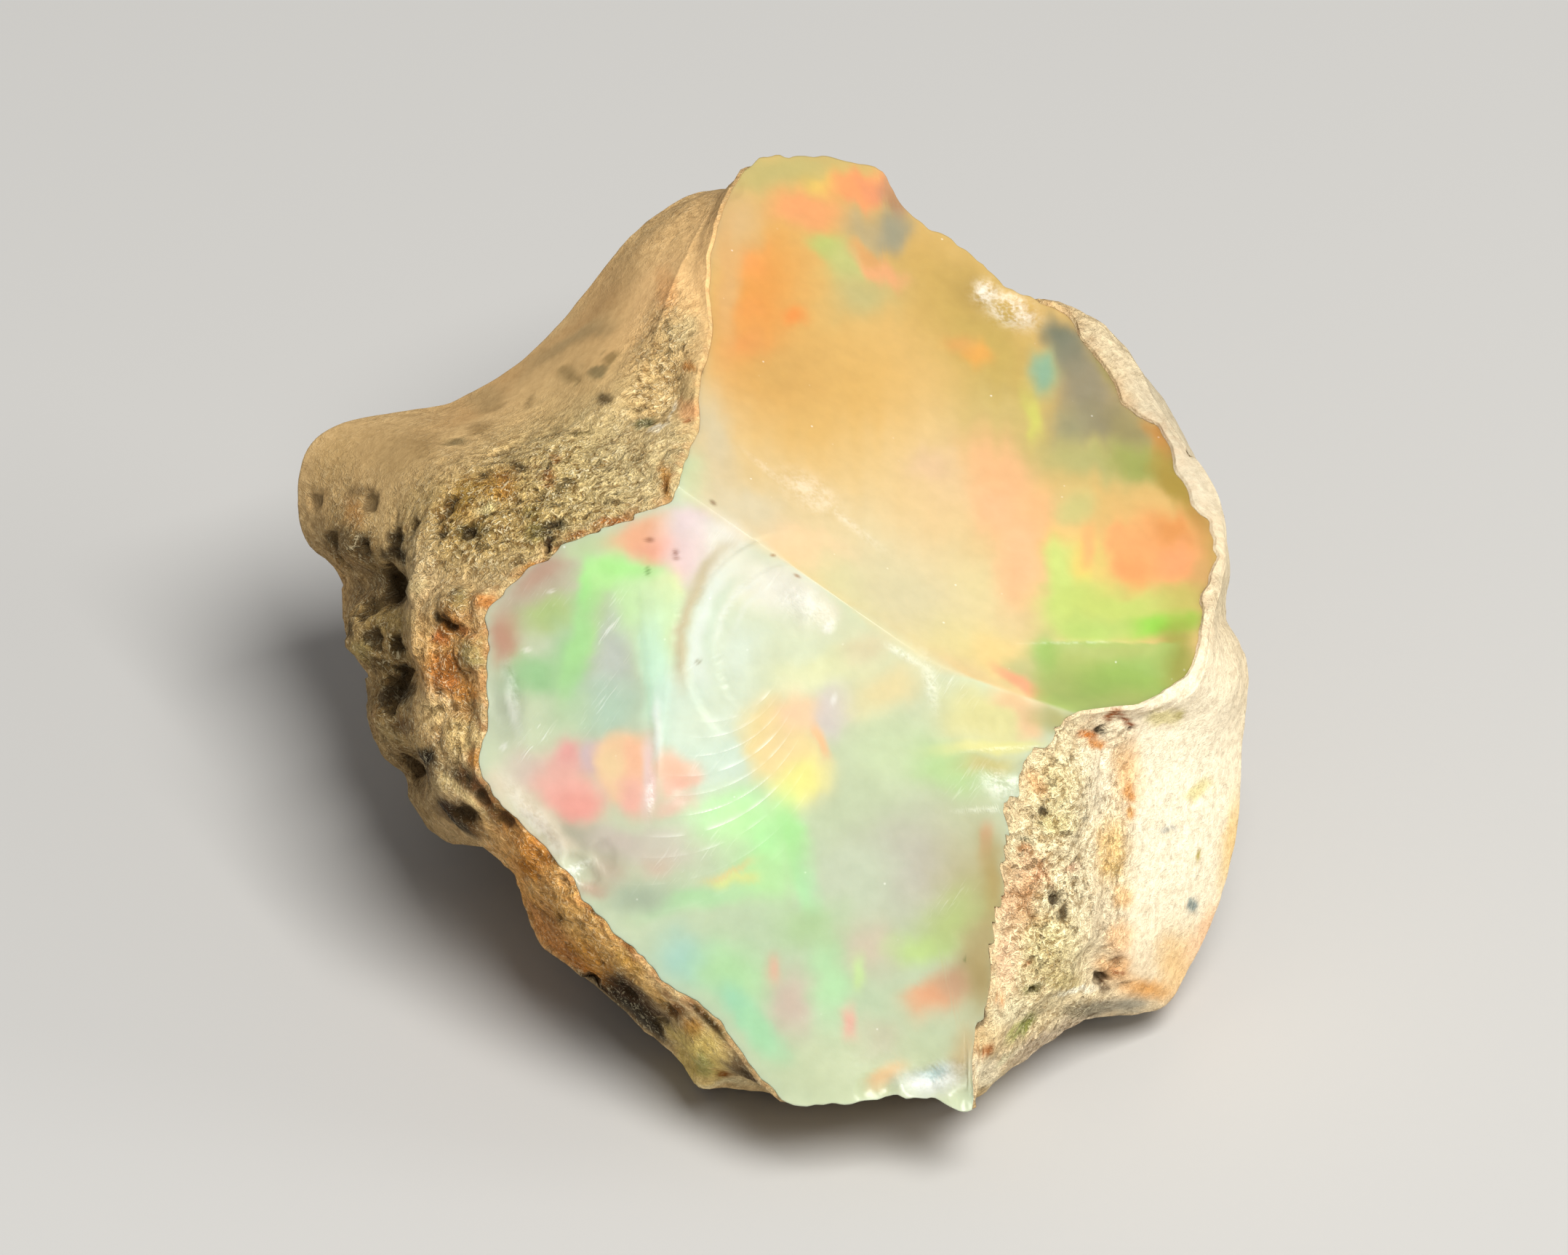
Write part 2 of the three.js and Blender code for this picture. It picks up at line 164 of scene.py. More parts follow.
EQUATOR = [
    (12.55, 0.3, 0.4), (12.7, 1.86, -1.0), (12.46, 3.26, -1.6), (11.76, 4.76, -2.4), (10.86, 6.46, -3.2),
    (9.76, 7.66, -4.0), (8.6, 8.36, -4.6), (7.2, 8.7, -6.2), (5.1, 9.4, -7.4), (2.2, 11.4, -7.8),
    (-0.2, 12.3, -6.2), (-2.24, 12.06, -3.6),
    (-3.84, 10.96, -3.0), (-5.04, 9.56, -2.8), (-6.04, 8.36, -2.6), (-7.24, 7.26, -2.6),
    (-9.04, 6.26, -2.6), (-10.64, 6.0, -2.4), (-12.24, 5.6, -2.2), (-13.08, 4.66, -2.2),
    (-13.04, 2.56, -3.0), (-12.14, 1.56, -3.6), (-12.04, 0.26, -4.0), (-11.54, -1.34, -4.0),
    (-11.24, -2.94, -4.0), (-10.54, -4.14, -4.0), (-9.84, -5.34, -3.8), (-9.1, -5.95, -3.0),
    (-7.84, -6.1, 0.4), (-7.24, -6.6, 2.0), (-6.84, -7.54, 2.6), (-6.44, -8.64, 2.8),
    (-5.64, -9.34, 3.0), (-4.64, -10.04, 3.0), (-3.44, -11.14, 3.2), (-2.54, -11.94, 3.6),
    (-2.04, -12.68, 4.2), (-1.24, -12.64, 4.0), (0.56, -12.9, 3.6), (2.76, -12.75, 3.6),
    (4.36, -12.75, 3.6), (5.46, -12.95, 3.8), (6.26, -12.34, 3.6), (7.36, -11.54, 3.0),
    (8.76, -10.78, 2.0), (10.76, -10.5, 0.6), (11.42, -9.64, 0.2), (12.52, -7.14, 0.0),
    (12.9, -5.34, 0.0), (13.0, -3.34, 0.2), (13.16, -1.54, 0.6), (13.0, -0.6, 0.6),
]


def make_ring(points):
    """A closed line through the points, as a function of the angle round the hub.

    Between two points a cubic in the angle keeps the slope continuous: the slope at a point is the
    rise between its two neighbours over their difference in angle.
    """
    points = np.array([(*p, 0.0)[:3] for p in points])
    angles = np.arctan2(points[:, 1] - HUB[1], points[:, 0] - HUB[0]) % TURN
    radii = np.hypot(points[:, 0] - HUB[0], points[:, 1] - HUB[1])
    order = np.argsort(angles)
    knots = angles[order]
    knots = np.concatenate([knots[-2:] - TURN, knots, knots[:2] + TURN])

    def read(values, angle):
        values = values[order]
        values = np.concatenate([values[-2:], values, values[:2]])
        slopes = (values[2:] - values[:-2]) / (knots[2:] - knots[:-2])
        wrapped = angle % TURN
        i = np.searchsorted(knots, wrapped, side="right") - 1
        span = knots[i + 1] - knots[i]
        t = (wrapped - knots[i]) / span
        lean = (1 - t) * slopes[i - 1] - t * slopes[i]
        return values[i] * (1 - ramp(t)) + values[i + 1] * ramp(t) + span * t * (1 - t) * lean

    return lambda angle: (read(radii, angle), read(points[:, 2], angle))


window_ring = make_ring(WINDOW_EDGE)
shoulder_ring = make_ring(SHOULDER)
equator_ring = make_ring(EQUATOR)
print("outline points:", len(WINDOW_EDGE), len(SHOULDER), len(EQUATOR))

# %% [markdown]
# ## The edge of the opal
#
# No drawn line is as restless as a broken edge. Small chips make it wander, more where the rim
# is jagged, and along the lower right small crystals of the rind point into the opal. A crystal is
# a crest of ridged noise: highest where the noise crosses zero, and gone a little way off.

# %% Broken edge of the opal
EDGE_CHIPS = 0.16  # how far the edge wanders, in mm
CHIP_SIZES = [(0.6, 0.55, 2), (0.4, 0.25, 3)]
EDGE_EASE = 6  # degrees in which a stretch of the edge comes and goes
JAGGED = [(-35, 20, 1.9), (285, 335, 1.9), (150, 192, 2.2)]  # from, to, how much more it wanders
CRYSTALS = {"from": 283, "rise": 4, "to": 333, "size": 0.42, "half_wide": 0.4, "length": 0.24}


def window_edge(angle):
    """Radius of the opal's edge: the smooth line, plus chips that follow it, less the crystals."""
    radius = window_ring(angle)[0]
    walk = np.stack([radius * np.cos(angle), radius * np.sin(angle), 0 * radius], axis=-1)
    degrees = np.degrees(angle) % 360
    rough = 1 + sum((more - 1) * stretch(degrees, first, EDGE_EASE, last, EDGE_EASE)
                    for first, last, more in JAGGED)
    crests = np.maximum(0, 1 - np.abs(noise(walk, CRYSTALS["size"], 4)) / CRYSTALS["half_wide"])
    crystals = crests * stretch(degrees, CRYSTALS["from"], CRYSTALS["rise"], CRYSTALS["to"], EDGE_EASE)
    return radius + EDGE_CHIPS * rough * hills(walk, CHIP_SIZES) - CRYSTALS["length"] * crystals


def on_ring(angle, radius):
    """x and y of a point at an angle and a radius round the hub."""
    return HUB[0] + radius * np.cos(angle), HUB[1] + radius * np.sin(angle)


round_once = np.linspace(0, TURN, 720, endpoint=False)
print("edge of the opal from", window_edge(round_once).min().round(2), "to",
      window_edge(round_once).max().round(2), "mm from the hub")


# %% [markdown]
# ## The two fracture faces
#
# Opal has no grain, so it breaks like glass: in shells that spread from the point of the blow. The
# lower face looks straight at the eye. The upper one falls away behind the ridge. Each is a gently
# bent height over x and y, and the stone keeps whichever is lower, which makes the ridge by itself.

# %% Height of the broken face
HUB_HEIGHT = 7.7
LOWER_SLOPE = (0.02, 0.06)
RIDGE_SLOPE = 0.7
RIDGE_BEND = {"x": 2.3, "slope": 0.375, "round": 0.8}
UPPER_CROWN = 0.004
UPPER_MIDDLE = (4.5, 5.5)
# Left of x the lower face tips away: crisply beside the wedge, and softly further down
LEFT_STEP = {"x": -3.14, "slope": 0.15, "crisp": 0.02, "soft": 1.6, "y": -4.2, "ease": 2.5}
BEVEL = {"y": -0.37, "x": 6.2, "ramp": 1.6, "slope": 0.75, "round": 0.06}
BEVEL_WAVE = {"height": 0.04, "pitch": 1.4, "x": 7.0}
BEVEL_TILT = {"slope": 0.012, "x": 9.0}
# The ridge is sharp at first, and worn further right
RIDGE_ROUND = {"left": 0.004, "right": 0.03, "x": 2.8, "ease": 1.6}
RIDGE_BLEND = 1.8  # how far past the ridge the upper face takes on its own form

# Shell-shaped scars of the lower face: x, y, radius and depth
SCARS = [(0.3, 0.1, 2.1, 0.1), (-1.5, -3.6, 2.6, 0.16), (5.6, -2.6, 1.3, 0.02), (3.2, -10.6, 2.8, 0.2)]


def rounded_step(t, round_off):
    """0 below 0 and t above it, with the corner rounded: (t + sqrt(t^2 + r^2)) / 2."""
    return (t + np.hypot(t, round_off)) / 2


def ridge_bend(x):
    """How far the ridge has turned up from its straight line: 0 on the left, then a rounded step."""
    along = x - HUB[0] - RIDGE_BEND["x"]
    bend = rounded_step(along, RIDGE_BEND["round"]) - rounded_step(-RIDGE_BEND["x"], RIDGE_BEND["round"])
    return RIDGE_BEND["slope"] * np.maximum(0, bend)


def past_ridge(x, y):
    """How far a point lies beyond the ridge, upwards along the face; negative on the lower face."""
    return y - HUB[1] + RIDGE_SLOPE * (x - HUB[0]) - ridge_bend(x)


def bevel_edge(x):
    """The slightly wavy line, low on the upper face, below which a last facet tips down."""
    wave = BEVEL_WAVE["height"] * np.sin(BEVEL_WAVE["pitch"] * (x - BEVEL_WAVE["x"]))
    return BEVEL["y"] + wave + BEVEL_TILT["slope"] * (x - BEVEL_TILT["x"])


def plain_heights(x, y):
    """Heights of the upper and of the lower fracture face, without their fine relief.

    Both start from one tilted plane. The upper one loses its distance past the ridge, a rounded
    step at the bevel and a wide dome. The lower one loses a rounded step on the left and its scars.
    """
    plain = HUB_HEIGHT + LOWER_SLOPE[0] * (x - HUB[0]) + LOWER_SLOPE[1] * (y - HUB[1])
    bevel = BEVEL["slope"] * rounded_step(bevel_edge(x) - y, BEVEL["round"])
    bevel = bevel * ramp((x - BEVEL["x"]) / BEVEL["ramp"])
    crown = UPPER_CROWN * ((x - UPPER_MIDDLE[0]) ** 2 + (y - UPPER_MIDDLE[1]) ** 2)
    upper = plain - past_ridge(x, y) - bevel - crown
    round_off = LEFT_STEP["crisp"] + LEFT_STEP["soft"] * ramp((LEFT_STEP["y"] - y) / LEFT_STEP["ease"])
    lower = plain - LEFT_STEP["slope"] * rounded_step(LEFT_STEP["x"] - x, round_off)
    for sx, sy, radius, depth in SCARS:
        reach = np.hypot(x - sx, y - sy) / radius
        lower = lower - depth * np.maximum(0, 1 - reach * reach) ** 1.5
    return upper, lower


# %% [markdown]
# ## Fine relief of the opal
#
# What makes a glassy break look real is where it catches the light: the stepped arcs of the shells,
# the ripples that run out from them, a long thin wedge that tore upwards, and small chips along the
# edges. Each is a small height in hundredths of a millimetre, added to the plain faces.

# %% Shells, ripples, wedge and chips
SHELL_CENTRE = (0.9, -0.6)
SHELL_SECTOR = (85, 35, 235, 40)  # degrees: from, rise, to, fall
SHELL_STEPS = [(3.25, 0.1, 0.12), (2.42, 0.04, 0.06)]  # radius, depth inside it, width of the step
SWELLS = [(0.05, 2.2, 5), (0.018, 0.8, 6)]

# The rings of the blow drift as they grow: a ring of radius r has its centre at start + drift * r
BLOW_START = (-0.53, 0.55)
BLOW_DRIFT = (-0.57, -0.41)
RING_RADII = [1.6, 2.23, 2.52, 2.88, 3.27, 3.65, 4.05, 4.45, 4.85, 5.38, 5.95, 6.6]
RIPPLE_SECTOR = (240, 22, 292, 16)
RIPPLE_RADII = (1.7, 0.5, 6.3, 2.6)
RIPPLE_HEIGHT = 0.012
UPPER_SWELL = 0.8  # the upper face swells this much as strongly as the lower one

# Chips: x, y, half length, half width, turn in degrees, depth and how crisp the edge is
CHIPS = [
    (5.95, 9.35, 0.36, 0.32, 0, 0.16, 0.6), (6.65, 8.85, 0.72, 0.42, -25, 0.2, 0.6),
    (4.5, -12.3, 1.0, 0.4, 12, 0.25, 0.5), (2.9, -12.6, 0.6, 0.4, 10, 0.15, 0.6),
    (5.4, -12.9, 0.5, 0.4, 40, 0.2, 0.6), (-7.3, -1.9, 0.5, 0.9, 10, 0.07, 0.6),
    (-6.4, -5.7, 0.9, 0.35, -48, 0.15, 0.6), (-5.2, -6.6, 0.6, 0.3, -40, 0.2, 0.5),
    (-4.6, -6.25, 0.35, 0.5, 15, 0.08, 0.5), (6.0, -2.7, 1.25, 0.8, -10, 0.03, 2.6),
    (6.9, -3.9, 0.6, 0.3, 20, 0.07, 0.7), (-2.5, -4.35, 0.45, 0.55, 0, 0.02, 1.2),
    (-1.1, 12.2, 0.4, 0.3, 60, 0.15, 0.6), (3.3, 12.2, 0.35, 0.5, 30, 0.2, 0.6),
]
CHIP_GRAIN = (0.35, 0.25, 9)
WEDGE = {"top": (-3.1, 1.6), "tip": (-3.08, -4.05), "half_width": 0.6, "tip_width": 0.02}
WEDGE_EASE = {"sides": 0.08, "top": 0.15, "tip": 0.02}  # the sides in mm, the ends as shares of its length
WEDGE_HEIGHT = {"most": 0.06, "least": 0.4, "grows_over": 5.6}  # the least is a share of the most
NICKS = {"depth": 0.04, "size": 0.3, "reach": 0.14, "x": 2.8, "ease": 1.5}  # along the worn ridge


def ellipse_reach(x, y, px, py, half_long, half_wide, turn, power=2):
    """Distance from an ellipse's middle, as a share of its reach in that direction.

    It is (|u|^n + |v|^n)^(1/n); with a power n above 2 the ellipse is nearer to a block.
    """
    angle = math.radians(turn)
    along = np.abs((x - px) * math.cos(angle) + (y - py) * math.sin(angle)) / half_long
    across = np.abs((y - py) * math.cos(angle) - (x - px) * math.sin(angle)) / half_wide
    return (along**power + across**power) ** (1 / power)


def soft_share(reach, crisp=3):
    """1 in the middle of an area, a half where its reach is 1, then 0: exp(-0.7 reach^crisp)."""
    return np.exp(-0.7 * reach**crisp)


def area_share(x, y, areas):
    """Largest share of any of the areas at each point."""
    shares = [strength * soft_share(ellipse_reach(x, y, px, py, long, wide, turn))
              for px, py, long, wide, turn, strength in areas]
    return np.max(shares, axis=0)


def ring_radius(x, y):
    """Radius of the drifting ring through a point, from |p - start - drift r| = r solved for r."""
    dx, dy = x - BLOW_START[0], y - BLOW_START[1]
    half = dx * BLOW_DRIFT[0] + dy * BLOW_DRIFT[1]
    rest = 1 - BLOW_DRIFT[0] ** 2 - BLOW_DRIFT[1] ** 2
    return (np.sqrt(half * half + rest * (dx * dx + dy * dy)) - half) / rest


def ring_count(x, y):
    """A whole number on each ripple, and fractions between them."""
    return np.interp(ring_radius(x, y), RING_RADII, np.arange(len(RING_RADII)))


def ripple_place(x, y):
    """Where the ripples show: a sector below the blow that fades at its sides; some are fainter."""
    angle = np.degrees(np.arctan2(y - BLOW_START[1], x - BLOW_START[0])) % 360
    uneven = 0.65 + 0.35 * np.sin(2.1 * np.floor(ring_count(x, y)) + 1)
    return stretch(angle, *RIPPLE_SECTOR) * stretch(ring_radius(x, y), *RIPPLE_RADII) * uneven


def wedge_share(x, y):
    """1 on the long thin wedge that narrows to its tip, 0 beside it."""
    down = (WEDGE["top"][1] - y) / (WEDGE["top"][1] - WEDGE["tip"][1])
    middle = WEDGE["top"][0] + (WEDGE["tip"][0] - WEDGE["top"][0]) * down
    half = WEDGE["half_width"] * np.clip(1 - down, 0, 1) + WEDGE["tip_width"]
    beside = ramp((half - np.abs(x - middle)) / WEDGE_EASE["sides"] + 0.5)
    return beside * stretch(down, 0, WEDGE_EASE["top"], 1, WEDGE_EASE["tip"])


def opal_relief(x, y):
    """Fine height of the upper and the lower face: long swells, then everything listed above."""
    points = np.stack([x, y, 0 * x], axis=-1)
    swell = hills(points, SWELLS)
    lower = swell
    shell_radius = np.hypot(x - SHELL_CENTRE[0], y - SHELL_CENTRE[1])
    shell_angle = np.degrees(np.arctan2(y - SHELL_CENTRE[1], x - SHELL_CENTRE[0])) % 360
    shell_place = stretch(shell_angle, *SHELL_SECTOR) * ramp(shell_radius / 1.6)
    for radius, depth, width in SHELL_STEPS:
        lower = lower - depth * ramp((radius - shell_radius) / width + 0.5) * shell_place
    lower = lower + RIPPLE_HEIGHT * ripple_place(x, y) * (ring_count(x, y) % 1 - 0.5)
    down = np.clip((WEDGE["top"][1] - y) / WEDGE_HEIGHT["grows_over"], 0, 1)
    growing = WEDGE_HEIGHT["least"] + (1 - WEDGE_HEIGHT["least"]) * down
    lower = lower + WEDGE_HEIGHT["most"] * wedge_share(x, y) * growing
    chips = 0
    for px, py, half_long, half_wide, turn, depth, crisp in CHIPS:
        reach = ellipse_reach(x, y, px, py, half_long, half_wide, turn)
        chips = chips - depth * np.maximum(0, 1 - reach * reach) ** crisp
    chips = chips * (1 + hills(points, [CHIP_GRAIN]))
    nicks = np.exp(-((past_ridge(x, y) / NICKS["reach"]) ** 2)) * ramp((x - NICKS["x"]) / NICKS["ease"])
    nicks = NICKS["depth"] * nicks * np.maximum(0, noise(points, NICKS["size"], 10))
    return UPPER_SWELL * swell + chips - nicks, lower + chips - nicks


def face_height(x, y):
    """The lower of the two faces, with the corner between them rounded by a few hundredths.

    Close past the ridge the upper face only falls away from the lower one by the distance, so that
    scars and swells can't push the corner off its line; its own form comes in over RIDGE_BLEND.
    """
    upper, lower = plain_heights(x, y)
    fine_upper, fine_lower = opal_relief(x, y)
    upper, lower = upper + fine_upper, lower + fine_lower
    past = past_ridge(x, y)
    apart = (upper - lower + past) * ramp(past / RIDGE_BLEND) - past
    further_right = ramp((x - RIDGE_ROUND["x"]) / RIDGE_ROUND["ease"])
    worn = RIDGE_ROUND["left"] + (RIDGE_ROUND["right"] - RIDGE_ROUND["left"]) * further_right
    return lower + apart / 2 - np.hypot(apart / 2, worn)


print("height at the hub", face_height(*HUB).round(2), "and 6 mm above it", face_height(2.24, 6.5).round(2))


# %% [markdown]
# ## The opal body
#
# Below its edge the opal narrows to a rounded bottom inside the matrix. That wall shows only at the
# top and at the bottom edge, where no matrix covers it, but a closed body is what gives the light
# something to travel through. The wall is a quarter of a superellipse at every angle.

# %% Wall of the opal and where the matrix meets it
OPAL_BOTTOM = (2.0, 3.2, -7.4)
OPAL_ROUNDNESS = 2.6  # the n of the superellipse
OPAL_LEAN = 0.3  # the wall leans in by this much for each millimetre down
CHIP_FADE = 0.5  # the chips of the edge fade out over this depth
CONTACT_GAP = 0.02
CONTACT_DROPS = [(57.5, 104, 2.2, 8), (260.5, 284.5, 1.5, 6)]  # from, to, depth, rise and fall


def contact_drop(angle):
    """How far below the face the matrix meets the opal: nothing, except at the two bare edges."""
    degrees = np.degrees(angle) % 360
    return sum(depth * stretch(degrees, first, ease, last, ease)
               for first, last, depth, ease in CONTACT_DROPS)


def leaning_radius(angle, edge, depth):
    """Radius of the leaning wall at a depth below its edge, before the wall closes to the bottom."""
    smooth_edge = window_ring(angle)[0]
    return smooth_edge + (edge - smooth_edge) * np.exp(-depth / CHIP_FADE) - OPAL_LEAN * depth


def opal_wall(angle, t, gap):
    """Wall from the edge of the face (t = 0) to the bottom (t = 1).

    With a = 90 t degrees, the depth grows as sin(a)^(2/n) and the radius shrinks as cos(a)^(2/n).
    """
    edge = window_edge(angle)
    top = face_height(*on_ring(angle, edge))
    turn = t * np.pi / 2
    power = 2 / OPAL_ROUNDNESS
    depth = (top - OPAL_BOTTOM[2]) * np.sin(turn) ** power
    closing = np.maximum(0, np.cos(turn)) ** power
    narrowed = leaning_radius(angle, edge, depth) * closing + gap * np.cos(turn)
    shift = np.sin(turn) ** 2
    x = HUB[0] + narrowed * np.cos(angle) + (OPAL_BOTTOM[0] - HUB[0]) * shift
    y = HUB[1] + narrowed * np.sin(angle) + (OPAL_BOTTOM[1] - HUB[1]) * shift
    return np.stack(np.broadcast_arrays(x, y, top - depth - gap * np.sin(turn)), axis=-1)


def contact_share(angle):
    """Share of the way down the wall at which the matrix begins."""
    top = face_height(*on_ring(angle, window_edge(angle)))
    sunk = (contact_drop(angle) / (top - OPAL_BOTTOM[2])) ** (OPAL_ROUNDNESS / 2)
    return np.arcsin(sunk) * 2 / np.pi


def clear_of_opal(points):
    """Moves points that lie inside the opal straight out, at their own height, to just past its wall.

    The wall's radius at a height comes from the formula of opal_wall, read backwards: the share of
    the depth gives the sine, and the sine gives the middle and the radius of that level. The angle
    is taken from that middle, so it is worked out three times, each from the last one's middle.
    """
    x, y, z = np.moveaxis(points, -1, 0)
    middle_x, middle_y = HUB
    for _ in range(3):
        angle = np.arctan2(y - middle_y, x - middle_x)
        edge = window_edge(angle)
        top = face_height(*on_ring(angle, edge))
        depth = np.clip(top - z, 0, top - OPAL_BOTTOM[2])
        sine = (depth / (top - OPAL_BOTTOM[2])) ** (OPAL_ROUNDNESS / 2)
        middle_x = HUB[0] + (OPAL_BOTTOM[0] - HUB[0]) * sine**2
        middle_y = HUB[1] + (OPAL_BOTTOM[1] - HUB[1]) * sine**2
    wall = leaning_radius(angle, edge, depth) * np.sqrt(1 - sine**2) ** (2 / OPAL_ROUNDNESS)
    push = np.maximum(0, wall + CONTACT_GAP - np.hypot(x - middle_x, y - middle_y))
    return points + np.stack([push * np.cos(angle), push * np.sin(angle), 0 * push], axis=-1)


print("the matrix leaves up to", contact_drop(np.radians(80.0)).round(2), "mm of the wall bare at the top")

# %% [markdown]
# ## The grid of the opal
#
# A grid of rows and columns is the plainest way to carry a formula onto a mesh. The columns run out
# from the hub like spokes. Two of them follow the ridge, because a crease looks crisp only where
# points lie right on it. The rows go out over the face and then down the wall to the bottom.

# %% Points of the opal
OPAL_COLUMNS = {"upper": 345, "lower": 375}
OPAL_ROWS = {"face": 108, "wall": 24}
EDGE_ROWS = (0.997, 0.0004)  # shares of face and wall at which a row lies close beside the edge
RIDGE_COLUMN = {"x": 5.5, "ease": 1.5, "reach": 0.8}  # how far columns are drawn to the ridge's bend
SHARP_RIDGE_END = 3.8  # the ridge is a sharp edge of the mesh as far as this x


def column_angles(columns):
    """Angles of the columns: one follows the ridge on either side of the hub."""
    right = -math.atan(RIDGE_SLOPE)
    upper = right + np.pi * np.arange(columns["upper"]) / columns["upper"]
    lower = right + np.pi + np.pi * np.arange(columns["lower"]) / columns["lower"]
    return np.concatenate([upper, lower])


def onto_ridge(x, y):
    """Slides points beside the straight line of the ridge up onto its bend, and less further right."""
    off = y - HUB[1] + RIDGE_SLOPE * (x - HUB[0])
    near = np.exp(-((off / RIDGE_COLUMN["reach"]) ** 2))
    return y + ridge_bend(x) * ramp((RIDGE_COLUMN["x"] - x) / RIDGE_COLUMN["ease"]) * near


def opal_points():
    """Grid of rows and columns: the face from the hub to its edge, then the wall to the bottom."""
    angle = column_angles(OPAL_COLUMNS)[None, :]
    share = np.append(np.linspace(0, EDGE_ROWS[0], OPAL_ROWS["face"]), 1)[:, None]
    x, y = on_ring(angle, window_edge(angle) * share)
    y = onto_ridge(x, y)
    face = np.stack([x, y, face_height(x, y)], axis=-1)
    wall_share = np.linspace(0, 1, OPAL_ROWS["wall"])[1:]
    wall = opal_wall(angle, np.append(EDGE_ROWS[1], wall_share)[:, None], 0)
    return np.concatenate([face, wall])


opal_grid = opal_points()
opal_ridge = np.zeros(opal_grid.shape[:2], bool)
for column in (0, OPAL_COLUMNS["upper"]):
    opal_ridge[:OPAL_ROWS["face"], column] = opal_grid[:OPAL_ROWS["face"], column, 0] < SHARP_RIDGE_END
opal_heights = opal_grid[..., 2]
print("opal grid:", opal_grid.shape, "heights", opal_heights.min().round(2), opal_heights.max().round(2))

# %% [markdown]
# ## The smooth form of the matrix
#
# The rind starts at the opal's edge, runs over the broken rim to the crease, down the flanks to the
# widest line, and closes behind in a blunt back with a few flat breaks. Sculpting by hand could make
# it too, but three lines and a formula between them can be read and changed.

# %% Smooth outside of the matrix
BACK_POLE = (1.6, -1.6, -10.6)
BACK_ROUNDNESS = 2.5
# Flat breaks of the back: the direction that each faces, and how far out it lies
BACK_FLATS = [
    (0.75, 0.35, -0.56, 12.5), (-0.72, 0.3, -0.63, 10.6), (-0.5, -0.62, -0.6, 9.8),
    (0.62, -0.5, -0.6, 10.8), (0.0, 0.2, -0.98, 10.6),
]
FLANK_BULGE = 0.5  # how far the right flank rises halfway down; the left one sinks as much


def matrix_outside(angle, t):
    """Outside from the rim (t = 0) over the crease (1) and the widest line (2) to the back (3).

    Up to the widest line, radius and height go evenly from one line to the next. Behind it they
    close like the opal's wall, and each flat break then cuts off what stands out past its plane.
    """
    rim = opal_wall(angle, contact_share(angle), CONTACT_GAP)
    rim_radius = np.hypot(rim[..., 0] - HUB[0], rim[..., 1] - HUB[1])
    radii = [rim_radius, shoulder_ring(angle)[0], equator_ring(angle)[0]]
    heights = [rim[..., 2], shoulder_ring(angle)[1], equator_ring(angle)[1]]
    first, second = np.clip(t, 0, 1), np.clip(t - 1, 0, 1)
    radius = radii[0] + (radii[1] - radii[0]) * first + (radii[2] - radii[1]) * second
    height = heights[0] + (heights[1] - heights[0]) * first + (heights[2] - heights[1]) * second
    height = height + FLANK_BULGE * np.cos(angle) * 4 * second * (1 - second)
    turn = np.clip(t - 2, 0, 1) * np.pi / 2
    power = 2 / BACK_ROUNDNESS
    spread = radius * np.maximum(0, np.cos(turn)) ** power
    shift = np.sin(turn) ** 2
    height = height + (BACK_POLE[2] - height) * np.sin(turn) ** power
    x = HUB[0] + spread * np.cos(angle) + (BACK_POLE[0] - HUB[0]) * shift
    y = HUB[1] + spread * np.sin(angle) + (BACK_POLE[1] - HUB[1]) * shift
    points = np.stack(np.broadcast_arrays(x, y, height), axis=-1)
    behind = ramp((t - 2) / 0.3)[..., None]
    for fx, fy, fz, reach in BACK_FLATS:
        outward = np.array([fx, fy, fz]) / np.linalg.norm([fx, fy, fz])
        over = np.maximum(0, points @ outward - reach)[..., None]
        points = points - outward * over * behind
    return points


back_end = matrix_outside(np.zeros(1), 3.0)[0]
print("the back closes at", back_end.round(2), "mm in the face frame")

# %% [markdown]
# ## Lumps and hollows
#
# A rind is lumpy because the rock broke round its harder parts. Crossed sine waves give lumps of
# three sizes that never line up, and noise upsets them. Faces that are worn keep little of them.

# %% Lumps and hollows
LUMP_SIZE = 0.4
LUMP_WAVES = {"pitch": 0.55, "finer": 1.45, "lower": 1.25}  # each wave this much finer and lower
LUMP_NOISE = [(0.14, 2.6, 17), (0.1, 1.4, 18)]
# Worn faces, where the lumps are lower: x, y, half length, half width, turn, share
WORN = [
    (10.8, -5.2, 5.4, 2.4, 86, 1.0), (-5.5, 7.2, 6.0, 2.2, 38, 1.0), (-6.0, 3.6, 4.5, 2.0, 20, 0.9),
    (-11.2, 4.8, 2.8, 1.5, 5, 0.85), (-5.0, -8.5, 5.0, 1.3, -47, 0.7), (11.6, 4.0, 4.2, 1.2, -60, 0.8),
]
WORN_DOWN = 0.85  # share of the lumps that is gone where the rock is worn
# Soft hollows of the front: x, y, radius and depth; the last one is a knob
HOLLOWS = [
    (-11.0, 1.2, 1.0, 0.7), (-10.8, -1.4, 1.1, 0.7), (-9.9, -3.9, 1.0, 0.6), (9.1, -9.5, 1.0, 0.4),
    (-8.84, 0.5, 1.1, -0.4),
]
HOLLOWS_END = -5  # no hollow reaches behind this z


def lumps(points):
    """Crossed sine waves, each finer and lower than the one before, then lumps of noise."""
    x, y, z = np.moveaxis(points, -1, 0)
    height = hills(points, LUMP_NOISE)
    for k in range(3):
        pitch = LUMP_WAVES["pitch"] * LUMP_WAVES["finer"] ** k
        turn = 2.4 * k + 0.7
        wave = np.sin(pitch * (x * np.cos(turn) + y * np.sin(turn)) + 1.7 * k)
        cross = np.sin(pitch * (z + 0.6 * y - 0.4 * x * np.cos(turn)) + 2.9 * k)
        height = height + LUMP_SIZE * wave * cross / LUMP_WAVES["lower"] ** k
    worn = WORN_DOWN * area_share(x, y, WORN) * ramp((z + 8) / 3)
    return height * (1 - worn)


